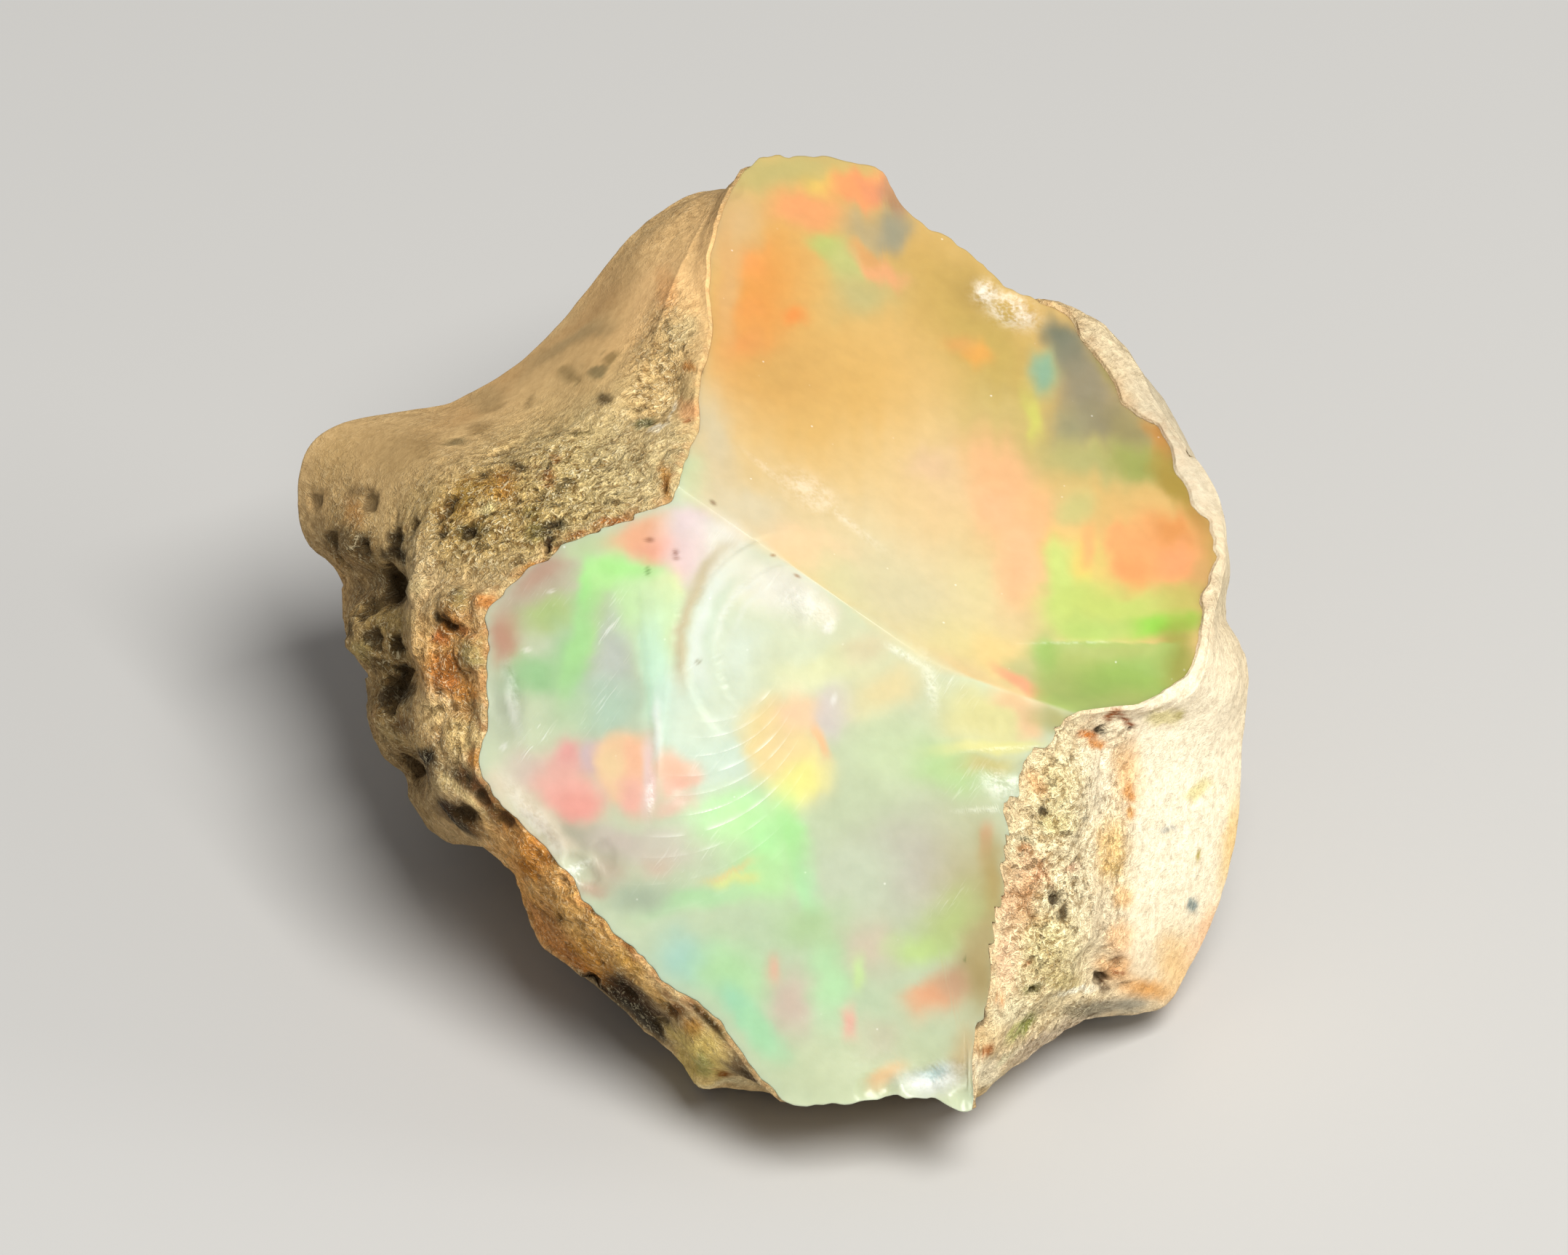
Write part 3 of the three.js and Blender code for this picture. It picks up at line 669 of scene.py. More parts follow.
def hollow_depth(points):
    """Depth of the soft hollows: each is a bowl of depth (1 - reach^2)^2."""
    x, y, z = np.moveaxis(points, -1, 0)
    depth = 0
    for px, py, radius, deep in HOLLOWS:
        reach = np.hypot(x - px, y - py) / radius
        depth = depth + deep * np.maximum(0, 1 - reach * reach) ** 2
    return np.where(z < HOLLOWS_END, 0, depth)


print("lumps of up to", LUMP_SIZE, "mm,", len(HOLLOWS), "hollows,", len(WORN), "worn faces")

# %% [markdown]
# ## Ragged pits and round knobs
#
# The holes along the left flank were gas bubbles that broke open, and the knobs beside them are
# filled ones. Each stands in a list, where the photograph shows it. A pit is a ball stretched along
# its depth, so that it also shows on a steep flank, and noise makes its outline ragged.

# %% Ragged pits and round knobs
RAGGED_OUTLINE = [(0.35, 0.45, 15), (0.25, 0.2, 16)]
PIT_STRETCH = 0.6
PIT_STEEPNESS = 1.8
KNOB_STRETCH = 0.5
KNOB_RAGGED = 0.4  # the outline of a knob is this much as ragged as that of a pit
OUT_OF_REACH = 99
# Ragged pits of the front: x, y, radius and depth
PITS = [
    (-12.35, 2.35, 0.42, 0.5), (-12.05, 1.95, 0.34, 0.45), (-11.45, 2.2, 0.4, 0.4), (-10.35, 2.5, 0.34, 0.45),
    (-10.45, 2.05, 0.42, 0.55), (-10.45, 1.1, 0.56, 0.6), (-11.2, 0.65, 0.5, 0.4), (-11.1, -0.3, 0.38, 0.35),
    (-10.4, -0.45, 0.32, 0.35), (-10.55, -1.85, 0.6, 0.6), (-10.1, -1.4, 0.36, 0.45),
    (-10.0, -3.8, 0.5, 0.45),
    (-9.5, -3.5, 0.36, 0.4), (-9.0, -5.0, 0.5, 0.4), (-8.4, -5.2, 0.45, 0.4), (-11.2, 3.5, 0.4, 0.22),
    (-12.75, 3.55, 0.35, 0.15), (-8.95, 3.25, 0.26, 0.28), (-9.15, 3.0, 0.2, 0.22), (-8.75, 3.55, 0.18, 0.2),
    (-9.1, 2.6, 0.2, 0.2), (-8.35, 2.6, 0.24, 0.24), (-9.88, 2.8, 0.22, 0.3), (-6.5, 2.65, 0.2, 0.12),
    (-6.15, 2.6, 0.13, 0.45), (-6.15, 2.35, 0.12, 0.45), (-6.13, 2.12, 0.1, 0.4), (-6.0, 2.8, 0.22, 0.25),
    (-7.0, 4.45, 0.2, 0.16), (-8.0, 4.22, 0.18, 0.14), (-6.05, 4.0, 0.16, 0.14), (-4.2, 3.65, 0.12, 0.12),
    (-6.05, 4.95, 0.14, 0.12), (-3.5, 5.6, 0.2, 0.1), (-8.85, 5.2, 0.24, 0.1), (-9.15, 0.3, 0.24, 0.2),
    (-8.75, 0.12, 0.26, 0.26), (8.9, -2.78, 0.2, 0.36), (9.82, -2.8, 0.15, 0.16), (7.4, -5.0, 0.14, 0.26),
    (7.68, -7.4, 0.18, 0.32), (9.08, -9.68, 0.25, 0.36), (8.55, -5.3, 0.13, 0.15), (9.5, -9.25, 0.3, 0.12),
    (7.15, -9.9, 0.18, 0.14), (-5.85, -7.9, 0.16, 0.14), (-4.65, -9.2, 0.14, 0.12), (-4.95, -9.65, 0.28, 0.2),
    (-3.9, -10.0, 0.34, 0.25), (-7.9, -4.6, 0.3, 0.2), (-7.3, -5.2, 0.34, 0.22), (-3.0, -10.8, 0.25, 0.15),
]
# Round knobs of the broken rim, in the same order, with their height
KNOBS = [
    (-8.6, 0.62, 0.5, 0.46), (-7.85, 0.7, 0.38, 0.26), (-9.75, 1.1, 0.42, 0.18), (-8.2, -0.65, 0.52, 0.34),
    (-8.8, -0.95, 0.34, 0.22), (-8.95, -1.45, 0.3, 0.14), (-8.5, -2.9, 0.7, 0.3), (-8.4, -1.9, 0.45, 0.24),
    (9.4, -2.85, 0.42, 0.12), (7.9, -4.4, 0.6, 0.1), (7.7, -8.8, 0.7, 0.1), (7.0, -7.2, 0.6, 0.1),
    (-2.1, -11.7, 0.6, 0.12), (-6.5, -6.1, 0.5, 0.08),
]


def front_height(points, t, x, y):
    """Height of the front at (x, y): that of the nearest point before the widest line."""
    away = np.hypot(points[..., 0] - x, points[..., 1] - y) + OUT_OF_REACH * (t > 2)
    return points[..., 2].ravel()[np.argmin(away)]


def pits_and_knobs(points, t):
    """Depth of the pits and height of the knobs, from the distance to each one's middle.

    That distance is sqrt(dx^2 + dy^2 + (stretch dz)^2) / radius. A pit has soft walls and a flat
    floor, and a knob is a half ball.
    """
    x, y, z = np.moveaxis(points, -1, 0)
    ragged = 1 + hills(points, RAGGED_OUTLINE)
    smoother = 1 - KNOB_RAGGED + KNOB_RAGGED * ragged
    depth, height = 0 * x, 0 * x
    for px, py, radius, deep in PITS:
        dz = PIT_STRETCH * (z - front_height(points, t, px, py))
        reach = np.sqrt((x - px) ** 2 + (y - py) ** 2 + dz**2) / radius * ragged
        depth = np.maximum(depth, deep * ramp((1 - reach) * PIT_STEEPNESS))
    for px, py, radius, high in KNOBS:
        dz = KNOB_STRETCH * (z - front_height(points, t, px, py))
        reach = np.sqrt((x - px) ** 2 + (y - py) ** 2 + dz**2) / radius * smoother
        height = np.maximum(height, high * np.sqrt(np.maximum(0, 1 - reach * reach)))
    return depth, height


print(len(PITS), "pits and", len(KNOBS), "knobs")

# %% [markdown]
# ## Pores and grain
#
# Between the large holes the rock is full of pores of two sizes, and a broken face of it is gritty.
# Cells scatter the pores: each lattice cube holds one place for a pore and one number, and the pore
# is there if its number is below the share of pores at that place. The grit is noise of four sizes.
# It is strong where a fresh break shows the needles of the rock, and weak where the rock is worn.

# %% Pores and grain
PORE_BASE = 0.3
# Where the matrix is porous or calm: x, y, half length, half width, turn, and how much it changes
POROUS = [
    (-11.2, -0.8, 4.2, 1.5, -75, 0.5), (-6.5, 3.6, 3.8, 1.6, 20, 0.6), (-8.9, -1.0, 2.6, 0.9, -85, 0.4),
    (-5.0, -9.3, 5.0, 1.2, -45, 0.2), (7.4, -6.8, 4.6, 1.1, 86, 0.5), (11.3, -4.5, 6.5, 2.4, 86, -0.3),
    (-5.0, 7.9, 6.0, 2.0, 40, -0.3), (-11.8, 5.0, 2.2, 1.5, 0, -0.25), (2.5, 12.8, 3.2, 1.6, 0, -0.3),
]
# Pores: lattice, seed, largest radius, smallest share of it, how many, steepness of the wall, depth
PORES = [(1.5, 21, 0.6, 0.3, 0.5, 1.6, 0.42), (0.62, 31, 0.24, 0.4, 0.7, 1.8, 0.45)]
PORE_OUTLINE = [(0.4, 0.5, 25), (0.25, 0.22, 26)]
# Where the rock is a crisp tangle of needles and not worn: x, y, half length, half width, turn, share
CRISP = [
    (-6.6, 3.4, 3.9, 1.75, 22, 1.0), (-3.2, 7.0, 2.0, 0.8, 74, 0.7), (-8.9, -1.2, 3.4, 1.15, -88, 0.7),
    (-11.0, -1.2, 4.6, 1.6, -78, 0.6), (-5.6, -8.0, 5.2, 1.3, -47, 0.5), (7.6, -7.0, 4.6, 1.35, 86, 0.8),
    (11.0, -5.0, 5.6, 2.2, 86, 0.17), (7.6, -11.0, 2.0, 0.7, 30, 0.6), (9.3, -6.0, 4.0, 0.6, 88, 0.5),
]
CRISP_GROUND = 0.33
COARSE_GRAIN = [(0.07, 0.9, 11), (0.05, 0.42, 12)]
CRISP_GRAIN = [(0.07, 0.26, 13), (0.05, 0.17, 14)]


def porosity(points):
    """Share of pores, 0 to 1: an even ground, more inside some areas and less inside others."""
    x, y, z = np.moveaxis(points, -1, 0)
    share = PORE_BASE + 0 * x
    for px, py, half_long, half_wide, turn, change in POROUS:
        reach = ellipse_reach(x, y, px, py, half_long, half_wide, turn)
        share = share + change * soft_share(reach) * ramp((z + 7) / 2)
    return np.clip(share, 0, 1)


def pore_depth(points):
    """Depth of the pores of both sizes; a larger number of its cell gives a larger radius."""
    share = porosity(points)
    ragged = 1 + hills(points, PORE_OUTLINE)
    depth = 0
    for lattice, seed, largest, smallest, many, steep, deep in PORES:
        near, number = cells(points, lattice, seed)
        radius = largest * (smallest + (1 - smallest) * np.minimum(1, number / (share * many + 0.01)))
        pore = ramp((1 - near * ragged / radius) * steep) * (number < share * many)
        depth = depth + deep * radius * pore
    return depth


def crispness(points):
    """How crisp the grain is, 0 to 1: as listed in front, and a third elsewhere unless it is worn."""
    x, y, z = np.moveaxis(points, -1, 0)
    front = ramp((z + 6) / 3)
    ground = CRISP_GROUND * (1 - area_share(x, y, WORN) * front)
    return np.maximum(area_share(x, y, CRISP) * front, ground)


def fine_relief(points, t):
    """Fine height of the matrix, from grain and knobs, and the depth of its pores and pits."""
    crisp = crispness(points)
    grain = (0.2 + crisp) * hills(points, COARSE_GRAIN) + crisp * hills(points, CRISP_GRAIN)
    pits, knobs = pits_and_knobs(points, t)
    return grain + knobs, np.maximum(pore_depth(points), pits)


corner = np.array([-6.6, 3.4, 4.0])
print("at the upper left the grain is crisp to", crispness(corner).round(2), "and porous to",
      porosity(corner).round(2))

# %% [markdown]
# ## The grid of the matrix
#
# Everything above comes together here. The smooth form is pushed in and out by lumps and hollows,
# away from a point inside the stone. Then the fine relief goes along the normals of the result. In
# the end, what lies inside the opal is moved out of it, and what hangs below the resting facet is
# lifted onto it.

# %% Points of the matrix
MATRIX_COLUMNS = {"upper": 259, "lower": 281}
MATRIX_ROWS = {"cavity": 3, "rim": 42, "flank": 88, "back": 48}
RIM_CROWDING = 1.2  # above 1, the rows of the rim crowd towards the opal
RIM_LIP = 0.10  # the broken rim stands this much above the opal's edge
HEART = (*HUB, -1.0)  # the point that lumps are pushed away from
EQUATOR_CALM = {"spread": 0.55, "left": 0.08}  # near the widest line only this share of lumps is left
FACET_CALM = (0.3, 0.8)  # above the facet, the fine relief begins at this height and grows over this one


def grid_normals(points):
    """Outward normal at each point of a closed grid, from the cross product of its two directions."""
    down = np.gradient(points, axis=0)
    across = np.roll(points, -1, axis=1) - np.roll(points, 1, axis=1)
    normal = np.cross(down, across)
    length = np.linalg.norm(normal, axis=-1, keepdims=True)
    return normal / np.maximum(length, 1e-9)


def matrix_points():
    """Grid of the matrix: up the inner wall, over the rim, down the flanks and round the back."""
    angle = column_angles(MATRIX_COLUMNS)[None, :]
    rows = MATRIX_ROWS
    inner_share = 1 + (contact_share(angle) - 1) * np.linspace(0, 1, rows["cavity"] + 1)[:-1, None]
    inner = opal_wall(angle, inner_share, CONTACT_GAP)
    t = np.concatenate([
        np.linspace(0, 1, rows["rim"] + 1)[:-1] ** RIM_CROWDING,
        np.linspace(1, 2, rows["flank"] + 1)[:-1],
        np.linspace(2, 3, rows["back"] + 1),
    ])[:, None]
    smooth = matrix_outside(angle, t)
    calm = EQUATOR_CALM["left"] + (1 - EQUATOR_CALM["left"]) * ramp(np.abs(t - 2) / EQUATOR_CALM["spread"])
    push = ramp(1.5 * t) * (calm * lumps(smooth) - hollow_depth(smooth))
    away = smooth - np.array(HEART)
    away = away / np.linalg.norm(away, axis=-1, keepdims=True)
    rough = smooth + push[..., None] * away

    grain, hollow = fine_relief(rough, t)
    lip = RIM_LIP * stretch(t, 0, 0.06, 1, 0.6)
    facet_clear = ramp((facet_height(rough) - FACET_CALM[0]) / FACET_CALM[1])
    fine = (ramp(t / 0.08) * (grain - hollow) * facet_clear + lip)[..., None]
    outer = clear_of_opal(rough + fine * grid_normals(rough))
    lift = np.maximum(0, -facet_height(outer))[..., None]
    outer = outer + lift * np.array([0, math.sin(FACE_LEAN), math.cos(FACE_LEAN)])
    return np.concatenate([inner, outer]), t, hollow


def facet_height(points):
    """Height of a point above the resting facet, measured along the vertical of the leaning stone."""
    return points[..., 1] * math.sin(FACE_LEAN) + points[..., 2] * math.cos(FACE_LEAN) + FACET_DEPTH


matrix_grid, matrix_t, matrix_hollow = matrix_points()
print("matrix grid:", matrix_grid.shape, "deepest pore", matrix_hollow.max().round(2), "mm")

# %% [markdown]
# ## From a grid to a mesh
#
# Columns run round the stone and join up with themselves. The first row and the last row are one
# point each, so the mesh closes there with fans of triangles, and everything between is quads.


# %% Grid to mesh
def closed_mesh(name, grid, ridge=None):
    """Closes a grid whose columns run round and whose first and last rows are one point each.

    Edges between two points of the ridge are marked sharp, so that the light breaks off there.
    """
    rows, columns = grid.shape[:2]
    inner = grid[1:-1].reshape(-1, 3)
    points = np.concatenate([grid[:1, 0], inner, grid[-1:, 0]])
    row = np.arange(rows - 3)[:, None] * columns + 1
    here = np.arange(columns)[None, :]
    following = (here + 1) % columns
    quads = np.stack([row + here, row + columns + here, row + columns + following, row + following], axis=-1)
    last = len(points) - 1
    first_row, last_row = 1 + here[0], last - columns + here[0]
    front = np.stack([0 * here[0], first_row, 1 + following[0]], axis=-1)
    back = np.stack([0 * here[0] + last, last - columns + following[0], last_row], axis=-1)
    faces = quads.reshape(-1, 4).tolist() + front.tolist() + back.tolist()
    mesh = bpy.data.meshes.new(name)
    mesh.from_pydata(to_world(points), [], faces)
    mesh.polygons.foreach_set("use_smooth", np.ones(len(faces), bool))
    if ridge is not None:
        ends = np.zeros(2 * len(mesh.edges), int)
        mesh.edges.foreach_get("vertices", ends)
        mesh.edges.foreach_set("use_edge_sharp", point_values(ridge)[ends.reshape(-1, 2)].all(axis=1))
    mesh.update()
    print(name, "has", len(points), "points and", sum(len(f) - 2 for f in faces), "triangles")
    return mesh


def point_values(values):
    """One value for each mesh point, in the order that closed_mesh uses."""
    flat = values[1:-1].reshape((-1,) + values.shape[2:])
    return np.concatenate([values[:1, 0], flat, values[-1:, 0]])


# %% [markdown]
# ## The play of colour
#
# Precious opal is clear silica packed with tiny spheres in perfect layers. Each little domain of
# layers sends back one pure colour, so the stone is a quilt of soft coloured fields: neon green, coral
# and yellow in the milky lower part, orange and green at the right end of the honey-coloured upper
# part. The fields are painted one over the other as soft ellipses, each listed with its place. A texture of
# random cells would be quicker, but it couldn't put each colour in its place.

# %% The fields of colour
# Every field: colour, x, y, half length, half width, turn in degrees, and how crisp its edge is
UPPER_BODY = "ebc47c"
UPPER_FIELDS = [
    ("f0dcae", 2.2, 2.4, 6.5, 1.9, -33, 2.2), ("ead9ae", -0.6, 4.1, 2.0, 1.3, -35, 2.2),
    ("f4d69a", 3.2, 5.0, 2.6, 1.4, -20, 2), ("f3d3a0", 5.2, 4.0, 1.4, 1.2, 0, 2),
    ("e9bd70", 0.8, 8.4, 3.8, 2.0, 80, 2.3), ("e9bd70", 2.2, 6.6, 1.6, 1.2, 0, 2),
    ("dcb468", 4.6, 9.4, 2.3, 1.0, -40, 2.3), ("d2b566", 6.2, 7.4, 2.4, 1.0, -62, 2.3),
    ("d9c27c", 6.4, 5.6, 1.1, 0.9, 0, 2.3), ("efa857", -0.5, 8.9, 2.0, 1.1, 80, 2.6),
    ("fbaa5c", -0.65, 10.1, 0.42, 0.38, 0, 2.3), ("f5a85a", -0.6, 8.7, 0.5, 0.42, 30, 2.3),
    ("fa9f52", 0.65, 8.55, 0.3, 0.2, 20, 2.3), ("f8a25a", -0.65, 7.75, 0.6, 0.3, 10, 2.3),
    ("e0b268", 0.3, 7.0, 1.1, 0.8, 0, 2), ("e4c088", -1.15, 11.2, 0.6, 1.1, -30, 2.3),
    ("e9b878", -1.3, 9.6, 0.25, 1.6, 0, 2.3), ("cfc07c", 0.4, 12.75, 1.7, 0.5, 2, 3.1),
    ("e9c56e", 1.5, 12.1, 0.75, 0.5, 10, 3), ("f4d070", 1.35, 12.25, 0.4, 0.3, 10, 3),
    ("fdac70", 2.3, 12.3, 0.75, 0.4, 5, 4), ("f8a474", 2.8, 12.3, 0.45, 0.28, 0, 3),
    ("d4a078", 3.25, 12.35, 0.3, 0.4, -30, 3), ("c99a70", 3.5, 11.8, 0.25, 0.45, 30, 3.7),
    ("f9b074", 1.0, 11.55, 0.95, 0.5, -12, 3.6), ("feb074", 0.7, 11.7, 0.4, 0.22, 0, 3.6),
    ("feab70", 2.3, 11.9, 0.3, 0.22, 0, 3.7), ("aba58a", 3.2, 11.15, 0.65, 0.5, -20, 3.4),
    ("aca68a", 3.35, 10.9, 0.4, 0.35, -30, 3), ("c9b486", 2.45, 11.1, 0.4, 0.45, 0, 2.6),
    ("c9d07a", 1.65, 10.5, 0.6, 0.3, -25, 4), ("cfcf84", 2.15, 9.95, 0.5, 0.6, 30, 3.4),
    ("cfc284", 2.6, 9.2, 0.8, 0.5, 20, 2.3), ("f4b47e", 3.0, 9.95, 0.75, 0.26, -35, 4),
    ("e8b070", 2.6, 10.45, 0.35, 0.2, -35, 4), ("f4b660", 5.6, 7.6, 0.42, 0.3, -50, 3.4),
    ("e8b268", 5.1, 7.9, 0.35, 0.25, 0, 3), ("c8a860", 5.5, 9.2, 0.7, 0.4, -50, 2.6),
    ("80846e", 7.95, 8.15, 0.55, 0.38, -40, 3.4), ("8c8c76", 8.35, 7.5, 0.5, 0.75, 25, 3),
    ("a2987c", 8.8, 6.5, 0.75, 1.0, 20, 3), ("9e9476", 9.1, 5.6, 0.7, 0.6, 0, 3),
    ("a79b6c", 9.9, 5.4, 0.6, 0.8, 20, 3), ("a8a27c", 8.2, 5.5, 0.5, 0.6, 0, 2.6),
    ("a8c094", 7.55, 7.15, 0.34, 0.5, 0, 3), ("9cc0a0", 7.5, 7.15, 0.22, 0.3, 0, 2.6),
    ("b0a268", 9.3, 7.1, 0.5, 0.22, -55, 3.1), ("dcd873", 7.2, 6.0, 0.22, 0.6, 12, 3.1),
    ("c3bd7c", 8.6, 4.6, 1.3, 0.5, -5, 2.6), ("aab062", 10.3, 4.5, 1.0, 0.42, -15, 3.1),
    ("b9a052", 11.2, 4.5, 0.5, 0.6, 30, 3), ("cc9450", 10.7, 5.3, 0.55, 0.3, -60, 3.7),
    ("b59a48", 11.3, 3.8, 0.35, 0.9, 30, 3), ("c39650", 11.9, 2.9, 0.28, 0.8, 10, 3),
    ("d0aa60", 12.0, 2.0, 0.3, 0.7, 0, 2.6), ("fcc690", 6.4, 3.9, 0.75, 1.4, 25, 3.4),
    ("fdc896", 6.1, 3.3, 0.5, 0.5, 0, 2.6), ("fec68e", 7.55, 3.1, 0.75, 0.6, 0, 3.4),
    ("ffcc9a", 6.85, 1.9, 0.6, 1.2, 5, 3.2), ("ffc292", 6.5, 1.3, 0.35, 0.6, 0, 2.8),
    ("d9cf88", 8.3, 3.3, 0.5, 0.5, 0, 3), ("fbd288", 8.15, 2.4, 0.5, 0.5, 0, 3.4),
    ("dcea88", 8.0, 1.5, 0.36, 0.9, 5, 4), ("f6e27e", 8.55, 1.6, 0.3, 0.75, 0, 3.7),
    ("fcc07e", 8.7, 2.2, 0.25, 0.55, 0, 3.7), ("f0d880", 9.1, 1.5, 0.3, 0.8, 0, 3.4),
    ("fdb878", 9.6, 2.5, 0.4, 0.4, 0, 3.4), ("fdb676", 10.6, 2.1, 1.1, 0.95, -10, 3.6),
    ("ffb070", 9.9, 1.5, 0.45, 0.5, 0, 3.4), ("ffb078", 11.2, 1.8, 0.5, 0.55, 0, 2.8),
    ("eca25e", 11.0, 2.7, 0.5, 0.4, 0, 3), ("e0b070", 11.8, 1.3, 0.3, 0.7, 0, 3.1),
    ("d3c06c", 11.2, 0.75, 0.6, 0.35, 10, 3.1), ("d6e886", 8.0, 0.6, 0.75, 0.6, 0, 3.4),
    ("d2e07a", 9.4, 0.55, 1.5, 0.5, -3, 3.4), ("9fe054", 10.5, -0.02, 0.9, 0.3, 5, 3.4),
    ("c8e07c", 8.7, -0.05, 1.1, 0.3, 0, 3), ("b0cc58", 11.3, 0.1, 0.5, 0.3, 0, 3),
    ("f5e49c", 5.0, -0.2, 1.5, 0.6, -20, 3), ("f2e0a8", 5.6, 0.8, 0.8, 0.9, 0, 2.3),
    ("fde09a", 6.2, -0.75, 0.75, 0.5, -25, 3.8), ("ffdcac", 0.9, 2.15, 1.35, 0.5, -15, 4),
    ("e8e2aa", 2.2, 1.1, 1.1, 0.5, -30, 2.6), ("e6dbb0", 3.4, 1.0, 1.6, 0.9, -33, 2.3),
    ("d6e2b0", -2.25, 4.1, 0.42, 0.6, 0, 3.4), ("e0cfa8", -1.7, 5.2, 0.45, 1.0, 15, 2.3),
    ("f0cda0", 4.4, 4.4, 0.6, 0.4, 0, 2.5), ("9cb858", 9.7, -1.35, 1.4, 0.5, 5, 3.1),
    ("a2a24c", 11.1, -0.9, 0.5, 0.8, 10, 3.1), ("b4d27c", 7.4, -0.8, 0.4, 0.45, 0, 3),
    ("d4cf90", 6.8, -1.1, 0.4, 0.3, 0, 2.6), ("fdb78c", 6.9, -1.5, 0.85, 0.16, -32, 3.7),
    ("c9c080", 8.1, -2.0, 0.7, 0.2, -8, 3.1), ("e8d9b4", -0.9, 3.3, 1.1, 0.5, -30, 3),
]
LOWER_BODY = "dae4c2"
